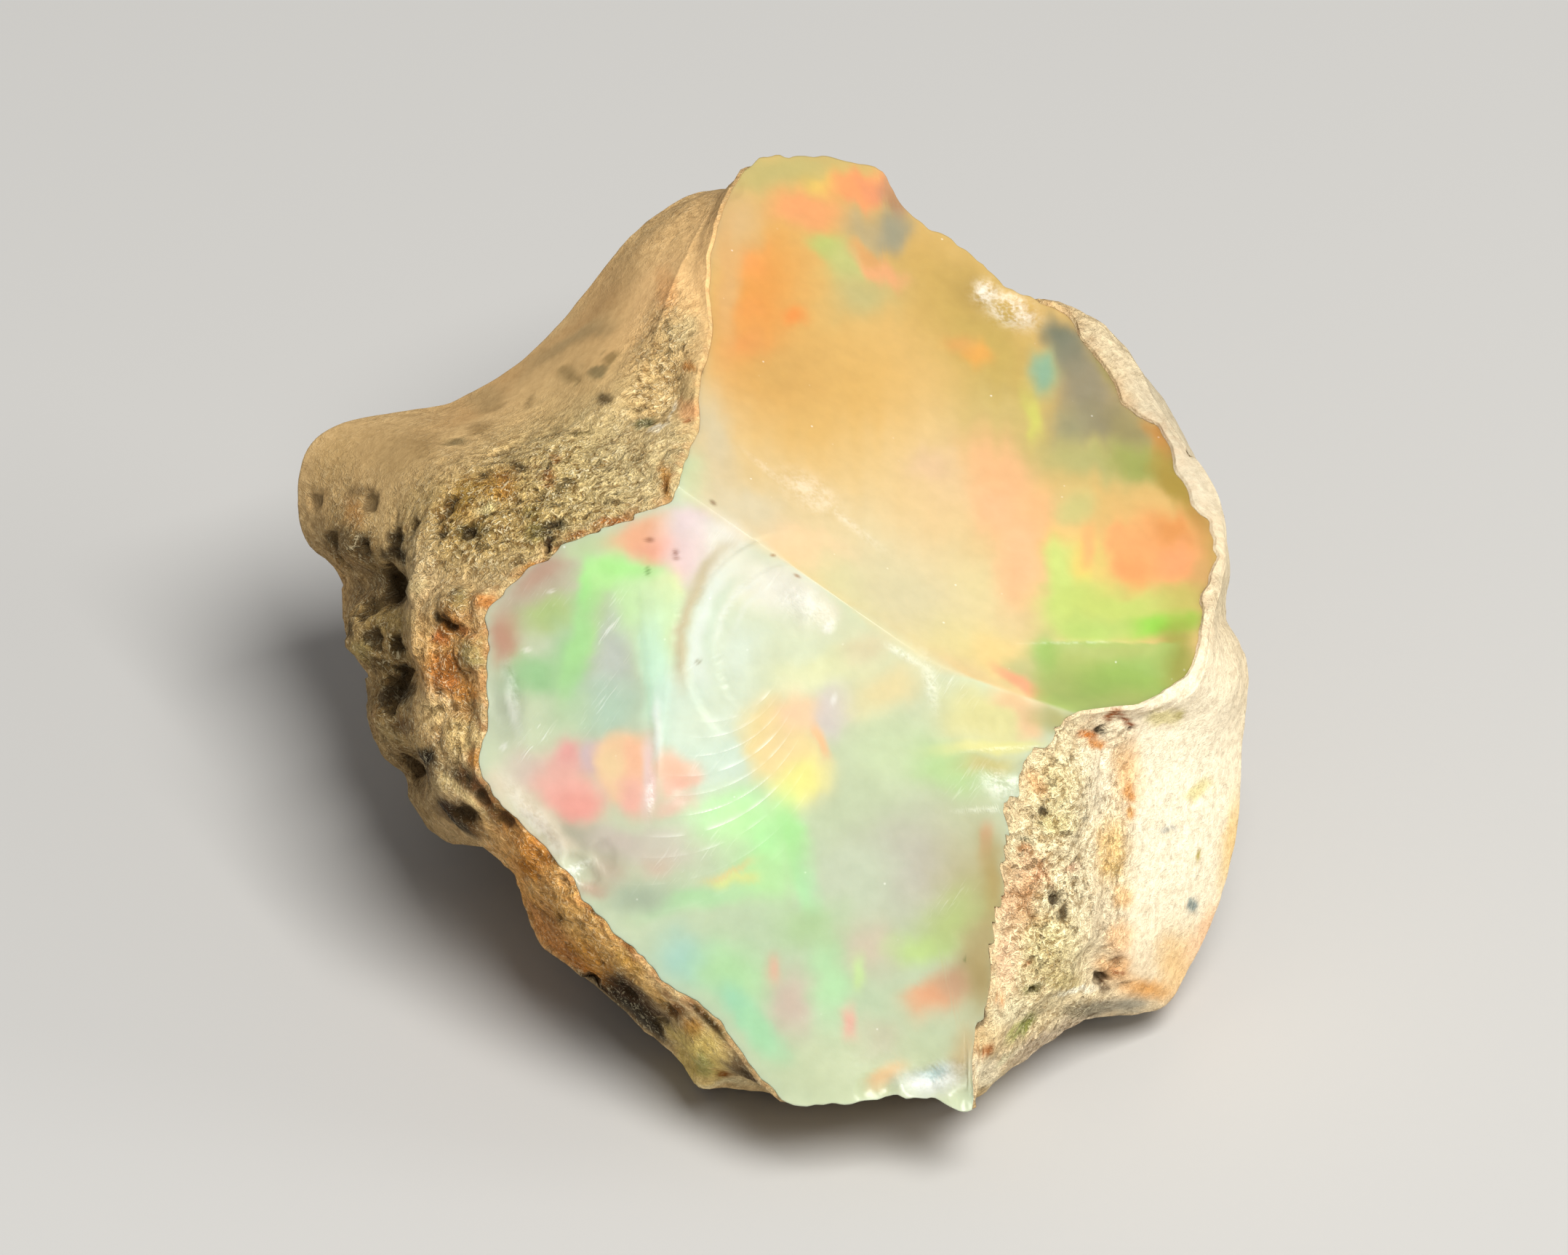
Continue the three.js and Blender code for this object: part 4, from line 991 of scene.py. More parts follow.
LOWER_FIELDS = [
    ("e6e6be", 2.2, -1.0, 2.2, 1.2, -25, 2.3), ("cfdbb6", 2.8, -5.2, 2.6, 2.4, 0, 2.3),
    ("c4d8b4", 0.5, -9.5, 3.6, 2.6, -30, 2.3), ("ced8b0", 2.5, -12.0, 2.8, 1.0, 0, 2.6),
    ("c6d2b6", -4.6, -1.4, 2.4, 1.1, -70, 2.3), ("c9bca4", -6.5, 0.9, 1.5, 0.7, 40, 3),
    ("cc9f86", -7.3, -0.4, 0.45, 0.75, 5, 3.2), ("c9a892", -6.3, 1.5, 0.7, 0.3, 38, 3),
    ("cfe0b0", -4.9, 2.35, 0.7, 0.25, 15, 3), ("fdbf98", -3.6, 2.55, 0.85, 0.42, 20, 3.8),
    ("ffb494", -3.1, 2.15, 0.6, 0.32, 15, 3.7), ("fbc6b4", -2.5, 1.9, 0.5, 0.4, 40, 3),
    ("f6dcda", -2.0, 2.0, 0.8, 0.8, 30, 3), ("f1dcdc", -2.2, 2.8, 0.6, 0.4, 0, 2.6),
    ("f7f2e6", -1.2, 2.5, 0.6, 0.55, 20, 2.6), ("c0c8ae", -7.3, -2.1, 0.45, 0.9, 5, 3.1),
    ("e2e6d4", -7.15, -2.0, 0.1, 0.8, 12, 3.1), ("e9dcb8", -6.75, -5.5, 1.25, 0.22, -50, 3),
    ("f0e4c6", -7.5, -4.3, 0.5, 0.3, -50, 3), ("bcd08c", -6.0, 0.3, 0.75, 0.45, 15, 3),
    ("a9d59c", -6.3, -1.4, 0.85, 0.5, -5, 3), ("b4dca4", -5.5, -1.0, 0.45, 0.9, 0, 3),
    ("c9ddb6", -5.2, -2.3, 0.9, 0.5, 10, 2.6), ("b4f89a", -4.95, 1.1, 0.24, 0.85, 0, 5),
    ("bff29e", -4.7, 0.6, 0.32, 1.3, -14, 3.4), ("b4e79e", -5.25, -0.5, 0.3, 1.3, -12, 3.2),
    ("c8dcae", -4.45, 0.6, 0.3, 0.6, -20, 2.6), ("cdd4c8", -4.25, -0.9, 0.42, 1.5, -10, 3.2),
    ("c3dcc4", -4.4, -2.2, 0.7, 0.7, 0, 2.6), ("c8fba8", -4.05, 1.5, 1.0, 0.5, -8, 4),
    ("bcfa9c", -3.9, 1.65, 0.7, 0.25, -5, 3), ("d8fabc", -3.7, 0.7, 0.45, 0.7, 0, 3),
    ("f3f6b8", -2.85, 1.15, 0.35, 0.35, 0, 2.6), ("dcf5c0", -3.1, 0.2, 0.55, 1.2, 4, 3.6),
    ("d8fadc", -3.2, -1.3, 0.36, 1.5, 4, 3.6), ("d3efdc", -2.85, -2.2, 0.3, 0.9, 4, 3),
    ("f2fbf2", -3.1, -2.95, 0.13, 1.0, 3, 4), ("d9f1e0", -2.3, -2.6, 0.5, 1.5, 0, 2.8),
    ("e6f2dc", -1.9, -0.3, 0.5, 1.6, -15, 2.6), ("f3f2d8", -0.3, 1.2, 1.2, 0.7, -20, 2.6),
    ("fbf8e8", 0.3, 0.95, 1.1, 0.6, -35, 2.6), ("f8f3da", 1.4, 0.3, 0.35, 0.4, -30, 3.6),
    ("e6edcb", 0.6, -0.6, 1.3, 0.7, -20, 2.3), ("e2edd8", -0.9, -0.8, 0.6, 1.0, -20, 2.6),
    ("e9f4dc", -1.3, -2.5, 1.4, 0.7, 20, 2.6), ("def0dc", -1.4, -3.6, 0.9, 0.7, 20, 2.6),
    ("eef0c0", 1.3, -1.2, 1.2, 0.4, 15, 2.6), ("e0d6d0", 1.6, -2.4, 0.6, 0.6, -30, 3.6),
    ("f1e2ae", 3.1, -1.7, 0.9, 0.5, 25, 2.6), ("e8deb6", 2.5, -0.6, 0.6, 0.3, 30, 2.6),
    ("ffe9a8", 0.4, -3.4, 0.95, 1.4, 28, 5), ("fffb9c", 0.75, -4.3, 0.7, 0.5, 35, 3.4),
    ("ffe6ac", 0.3, -2.9, 0.5, 0.6, 0, 2.6), ("ffdcb4", 0.75, -2.3, 0.5, 0.4, -30, 2.6),
    ("ffcf9c", 1.4, -3.1, 0.14, 0.5, 20, 3), ("d5e4b8", 3.6, -3.4, 1.2, 0.8, -20, 2.6),
    ("c6e6a4", 4.9, -3.9, 0.9, 0.6, -20, 3), ("e3d5c4", -6.6, -3.9, 0.7, 0.5, -20, 3),
    ("efbdb4", -5.5, -3.6, 0.5, 0.45, 0, 3.2), ("f0b0a8", -5.55, -3.35, 0.25, 0.25, 0, 2.6),
    ("dcc4c6", -4.85, -3.6, 0.3, 0.45, 0, 3.6), ("ffd7ac", -4.1, -3.75, 0.68, 0.95, 0, 7),
    ("fec8a4", -3.75, -3.6, 0.3, 0.6, 0, 2.6), ("fcdeae", -4.35, -3.9, 0.3, 0.5, 0, 3),
    ("fbbeb0", -5.6, -4.5, 0.9, 0.7, -38, 3.2), ("fbb2a4", -5.35, -4.9, 0.5, 0.35, 0, 2.6),
    ("fcc2b0", -3.8, -4.6, 0.4, 0.45, 0, 3), ("f6d8d0", -3.35, -4.0, 0.16, 0.9, 0, 3),
    ("fecdb0", -2.65, -3.9, 0.5, 0.48, -30, 4), ("f6c4ac", -2.6, -4.25, 0.5, 0.2, 20, 3),
    ("ecccb6", -2.7, -4.8, 0.5, 0.25, 10, 3), ("b9b69e", -5.35, -5.75, 0.75, 0.38, -20, 3),
    ("d6cabc", -4.0, -5.9, 1.1, 0.4, -5, 3), ("ccbfa8", -4.5, -6.6, 0.6, 0.35, -10, 2.5),
    ("dcd6c4", -2.9, -5.9, 0.8, 0.5, 0, 2.6), ("dccab4", -3.1, -6.5, 0.4, 0.3, 0, 2.3),
    ("d2b8a0", -4.9, -7.1, 0.5, 0.2, 0, 2.6), ("ccf8bc", -1.2, -4.9, 1.0, 0.4, 25, 2.6),
    ("d0ffb8", -0.6, -5.3, 1.1, 0.65, 5, 3), ("c0faae", -0.2, -6.2, 0.5, 0.9, 0, 3),
    ("b9f5a4", 0.6, -5.9, 0.4, 1.0, 10, 3.2), ("c6f2ae", -0.4, -6.8, 0.75, 0.55, 0, 3),
    ("b0f6ac", 1.0, -7.2, 0.3, 0.75, 15, 3.4), ("e9ee9c", -1.1, -6.85, 0.55, 0.16, 5, 3.4),
    ("e9dc9c", -1.2, -6.6, 0.5, 0.08, 18, 2.5), ("bfe8b2", -2.2, -7.4, 1.3, 0.28, 12, 3.2),
    ("b4c2a8", -3.6, -7.3, 0.8, 0.4, 0, 2.6), ("cdc8b8", 3.8, -6.5, 1.3, 1.2, 20, 2.6),
    ("d2dcc0", 2.2, -6.9, 1.2, 0.9, 0, 2.6), ("efb496", 5.85, -5.9, 0.16, 0.5, -10, 3.1),
    ("eee8a8", 6.0, -2.5, 1.25, 0.8, -8, 4), ("f7d2a0", 6.7, -2.0, 0.6, 0.3, -20, 3),
    ("fbd4a6", 7.1, -2.5, 0.35, 0.5, 0, 3.4), ("f4f0a4", 6.1, -3.28, 1.3, 0.15, 3, 3),
    ("d8cf8c", 5.9, -3.75, 0.7, 0.22, 0, 2.6), ("bcb878", 8.1, -2.45, 0.9, 0.3, -8, 3),
    ("c4ba8c", 5.6, -8.1, 0.8, 2.3, 6, 2.3), ("bda66c", 6.05, -7.2, 0.34, 1.3, 4, 2.2),
    ("b4dccb", -2.3, -9.0, 0.8, 0.5, -30, 2.4), ("bce6ae", -1.1, -9.5, 0.9, 0.7, -40, 3),
    ("a9e0bc", -0.9, -10.4, 0.7, 0.35, -45, 3), ("b2e4b4", -0.3, -11.0, 0.9, 0.4, -50, 3.4),
    ("bfeab4", 1.6, -9.4, 0.5, 1.1, 0, 3), ("bcd8a4", 1.0, -8.1, 0.9, 0.5, 0, 2.6),
    ("d8c6b4", 0.6, -10.2, 0.5, 0.8, 0, 2.6), ("e8c4a8", 0.0, -9.3, 0.2, 0.35, 0, 2.6),
    ("dccfb8", 2.7, -8.8, 0.7, 0.6, -10, 2.4), ("d2ecaa", 2.35, -9.4, 0.2, 0.42, 0, 2.6),
    ("d0ea9c", 4.15, -8.7, 0.8, 0.36, 14, 3), ("c0cf8a", 4.95, -7.95, 0.8, 0.5, 38, 2.4),
    ("f4b88e", 4.4, -10.05, 0.66, 0.4, 30, 2.8), ("d2aa88", 5.05, -9.6, 0.45, 0.36, 30, 2.4),
    ("b8a470", 5.75, -9.4, 0.4, 1.0, 8, 2.2), ("efb8a4", 2.15, -10.8, 0.17, 0.42, 0, 2.8),
    ("d0cfb0", 2.9, -11.2, 0.5, 0.5, 0, 2.6), ("f4d2a0", 3.1, -12.2, 0.5, 0.2, 30, 3.4),
    ("e2e6dc", 4.4, -12.3, 0.8, 0.35, 12, 3.4), ("bcd8d4", 4.5, -12.05, 0.4, 0.12, 15, 2.8),
    ("d6c294", 5.2, -11.6, 0.34, 0.6, 0, 2.6), ("ecdec4", -6.35, -5.2, 1.3, 0.26, -52, 3),
]
print(len(UPPER_FIELDS), "fields on the upper face and", len(LOWER_FIELDS), "on the lower one")

# %% [markdown]
# ## Painting
#
# Blender works with linear light, so a colour as it is shown on a screen is made linear first. A
# field is laid over what is there by its share, which falls from its middle outwards.


# %% Painting with soft fields
def linear(code):
    """A colour of six hexadecimal digits as linear red, green and blue, by the sRGB curve."""
    shown = np.array([int(code[i:i + 2], 16) for i in (0, 2, 4)]) / 255
    return np.where(shown <= 0.04045, shown / 12.92, ((shown + 0.055) / 1.055) ** 2.4)


def mixed(colour, code, share):
    """Lays a colour over others by a share from 0 to 1."""
    share = np.clip(share, 0, 1)[..., None]
    return colour * (1 - share) + linear(code) * share


FIELD_POWER = 2.8  # above 2, so a field is a little nearer to a block than an ellipse


def painted(x, y, body, fields):
    """Body colour with the fields laid over it in the order of their list."""
    colour = np.zeros(x.shape + (3,)) + linear(body)
    for code, px, py, half_long, half_wide, turn, crisp in fields:
        reach = ellipse_reach(x, y, px, py, half_long, half_wide, turn, FIELD_POWER)
        colour = mixed(colour, code, soft_share(reach, crisp))
    return colour


print("the body of the upper face is", linear(UPPER_BODY).round(2), "in linear light")

# %% [markdown]
# ## Colour of the opal
#
# The domains have ragged, slanting ends, so noise bends the painted fields, and on the upper face
# whole columns slip along y, which combs them a little. The two faces show different layers of the
# opal, and so the colour changes at the ridge. Where the body is clear it changes at once, and where
# it is milky the change is spread out. The bevel facet is painted a darker green, partly as painted
# shade, the shells get arcs of painted sheen and shade, and a few glints are painted in. The colour
# is kept on the mesh as an attribute.

# %% Colour of the opal
DRIFT = [(0.16, 1.1), (0.1, 0.45), (0.05, 0.2)]  # how far noise bends the fields, and its size
STREAK = (0.22, 0.3, 3.0)  # how far columns slip along y, their width and their length
# The bevel facet takes a darker green: its own green, and partly painted shade of a facet that faces away
# from the light.
BEVEL_TINT_AND_SHADE = "a6c468"
BEVEL_TINT_AND_SHADE_SHARE = 0.75
SPECK_AND_GLINT_SHARE = 0.65
ARC_EASE = 30  # degrees in which an arc comes and goes
# Shell arcs, painted: the white ones are painted sheen on the steps of the shells, and the tan one is
# painted shade and reflection on the rim outside them. Colour, radius, width, first and last angle, strength
SHEEN_ARCS = [
    ("f2faee", 2.98, 0.27, 118, 212, 0.8), ("d4c6a2", 3.46, 0.17, 112, 208, 0.9),
    ("d8e8d0", 2.62, 0.14, 118, 200, 0.6), ("f6faee", 2.4, 0.08, 105, 190, 0.55),
    ("f6faee", 2.0, 0.08, 110, 180, 0.4),
]


def sheen_arc_share(x, y, radius, width, first, last):
    """A curved band round the shell centre that fades out at both ends: where a painted arc of sheen lies."""
    dx, dy = x - SHELL_CENTRE[0], y - SHELL_CENTRE[1]
    across = (np.hypot(dx, dy) - radius) / width
    angle = np.degrees(np.arctan2(dy, dx)) % 360
    return np.exp(-across * across) * stretch(angle, first, ARC_EASE, last, ARC_EASE)


def clearness(x):
    """1 where the opal beside the ridge is clear: right of the hub, but less round x = 4."""
    return ramp((x + 0.7) / 1.4) * (1 - 0.8 * stretch(x, 2, 0.8, 5.5, 1))


def opal_colour(points):
    """Painted colour: the upper fields past the ridge, the lower ones and the painted sheen of the shells
    before it, then specks of rock and painted glints.
    """
    x, y = points[..., 0], points[..., 1]
    flat = np.stack([x, y, 0 * x], axis=-1)
    bent_x = x + sum(far * noise(flat, size, 41 + k) for k, (far, size) in enumerate(DRIFT))
    bent_y = y + sum(far * noise(flat, size, 51 + k) for k, (far, size) in enumerate(DRIFT))
    columns = np.stack([x / STREAK[1], y / STREAK[2], 0 * x], axis=-1)
    slipped = bent_y + STREAK[0] * noise(columns, 1, 57) * ramp((y - 0.5) / 2)
    upper = painted(bent_x, slipped, UPPER_BODY, UPPER_FIELDS)
    on_bevel = ramp((bevel_edge(x) - y) / BEVEL["round"]) * stretch(bent_x, 6.9, 0.7, 11.3, 0.8)
    upper = mixed(upper, BEVEL_TINT_AND_SHADE, BEVEL_TINT_AND_SHADE_SHARE * on_bevel)
    lower = painted(bent_x, bent_y, LOWER_BODY, LOWER_FIELDS)
    # Painted sheen on the steps of the shells, and painted shade on their rim
    for code, radius, width, first, last, strength in SHEEN_ARCS:
        lower = mixed(lower, code, strength * sheen_arc_share(bent_x, bent_y, radius, width, first, last))
    change = 0.9 - 0.8 * clearness(x)  # the width of the change at the ridge, in mm
    side = ramp(past_ridge(x, y) / change + 0.5)[..., None]
    colour = lower + (upper - lower) * side
    # Specks of rock, and white glints that are painted highlights
    for code, px, py, half_long, half_wide, turn in SPECKS_AND_GLINTS:
        reach = ellipse_reach(x, y, px, py, half_long, half_wide, turn)
        colour = mixed(colour, code, SPECK_AND_GLINT_SHARE * soft_share(reach))
    return colour


print(len(SHEEN_ARCS), "shell arcs; clearness at x = -2, 2 and 4:", clearness(np.array([-2.0, 2.0, 4.0])).round(2))

# %% [markdown]
# ## Scratches, bruises, specks and painted glints
#
# A blow leaves frosted bruises and fine combed scratches, called hackles. They are too fine for the
# mesh, so the mesh only says where they are and how strong. The material draws them.

# %% Where the opal is scratched, bruised or rippled
# Scratched areas: x, y, half length, half width, turn, strength
HACKLES = [
    (-4.45, 0.2, 0.8, 0.28, 70, 0.8), (-4.3, -1.3, 1.0, 0.4, 65, 0.5), (-4.7, -2.3, 0.7, 0.4, 55, 0.4),
    (-6.5, -3.0, 0.55, 0.34, 50, 1.0), (-6.2, 0.9, 0.9, 0.4, 20, 0.3), (0.5, 0.9, 0.9, 0.4, -35, 0.4),
    (-1.6, 2.4, 0.7, 0.4, 20, 0.25), (-2.2, -6.2, 1.4, 0.6, 30, 0.35), (-1.4, -3.2, 1.2, 0.5, 35, 0.3),
    (4.7, -1.5, 0.8, 0.25, -35, 0.5), (4.9, -7.4, 0.7, 0.3, 40, 0.4), (5.4, -4.2, 0.7, 0.4, 30, 0.4),
]
# Frosted bruises, as areas in the same order
BRUISES = [
    (1.0, 3.75, 0.8, 0.36, -32, 0.32), (2.2, 2.8, 1.0, 0.1, -38, 0.28), (0.0, 4.2, 0.8, 0.08, -40, 0.25),
    (0.9, 0.6, 0.7, 0.35, -30, 0.4), (1.55, 0.05, 0.16, 0.2, 0, 0.45), (4.3, -1.5, 0.16, 0.7, 12, 0.35),
    (3.6, -0.75, 0.5, 0.1, -30, 0.45), (6.2, -4.3, 0.5, 0.3, -30, 0.6), (6.4, -3.3, 0.9, 0.05, 4, 0.35),
    (5.9, -4.98, 0.8, 0.06, 2, 0.4), (5.95, 9.35, 0.34, 0.3, 0, 0.9), (6.65, 8.85, 0.65, 0.38, -25, 0.9),
    (4.5, -12.25, 0.9, 0.3, 12, 0.5), (-5.4, -6.6, 0.45, 0.1, 25, 0.9), (8.2, -0.4, 1.1, 0.03, 1, 0.3),
    (-3.35, -4.6, 0.1, 0.5, 0, 0.6), (-7.1, -1.6, 0.12, 0.7, 12, 0.35),
    (-6.45, -5.3, 1.2, 0.25, -52, 0.35),
]
# Specks of rock, and bright glints that are painted highlights: colour, x, y, half length, half width and
# turn
SPECKS_AND_GLINTS = [
    ("8c4a22", -3.35, 2.4, 0.1, 0.07, 0), ("8c4a30", -2.64, 2.06, 0.07, 0.09, 0),
    ("9c5a3c", -2.62, 1.9, 0.07, 0.06, 0), ("7a4a20", -1.62, 3.42, 0.1, 0.05, -40),
    ("a87038", 0.02, 1.98, 0.07, 0.04, 0), ("b07c48", 0.68, 1.42, 0.09, 0.04, -30),
    ("5c8430", -3.4, 1.55, 0.05, 0.12, 0), ("84783c", -2.02, -0.92, 0.05, 0.07, 0),
    ("4c6c30", 5.3, -9.1, 0.05, 0.04, 0), ("26180c", -2.0, 7.05, 0.1, 0.09, 0),
    ("fffaf0", -6.7, -0.6, 0.1, 0.05, 0), ("fffaf0", -6.05, 1.0, 0.07, 0.05, 0),
    ("fffdf4", 1.68, -1.95, 0.08, 0.14, -20), ("fffdf4", -7.35, -3.25, 0.08, 0.08, 0),
    ("fffdf4", 1.5, -0.02, 0.1, 0.1, 0),
]
WORN_REACH = 0.3  # the right end of the ridge is worn dull this far to either side

opal_x, opal_y = opal_grid[..., 0], opal_grid[..., 1]
opal_tint_and_light = opal_colour(opal_grid)
opal_marks = np.stack([
    area_share(opal_x, opal_y, HACKLES),
    area_share(opal_x, opal_y, BRUISES),
    ripple_place(opal_x, opal_y) * (past_ridge(opal_x, opal_y) < 0),
], axis=-1)
opal_rings = ring_count(opal_x, opal_y)
opal_worn = np.exp(-((past_ridge(opal_x, opal_y) / WORN_REACH) ** 2)) * ramp((opal_x - 2.5) / 1.5)
print("opal mean colour", opal_tint_and_light.mean((0, 1)).round(2), "with", len(SPECKS_AND_GLINTS), "specks")
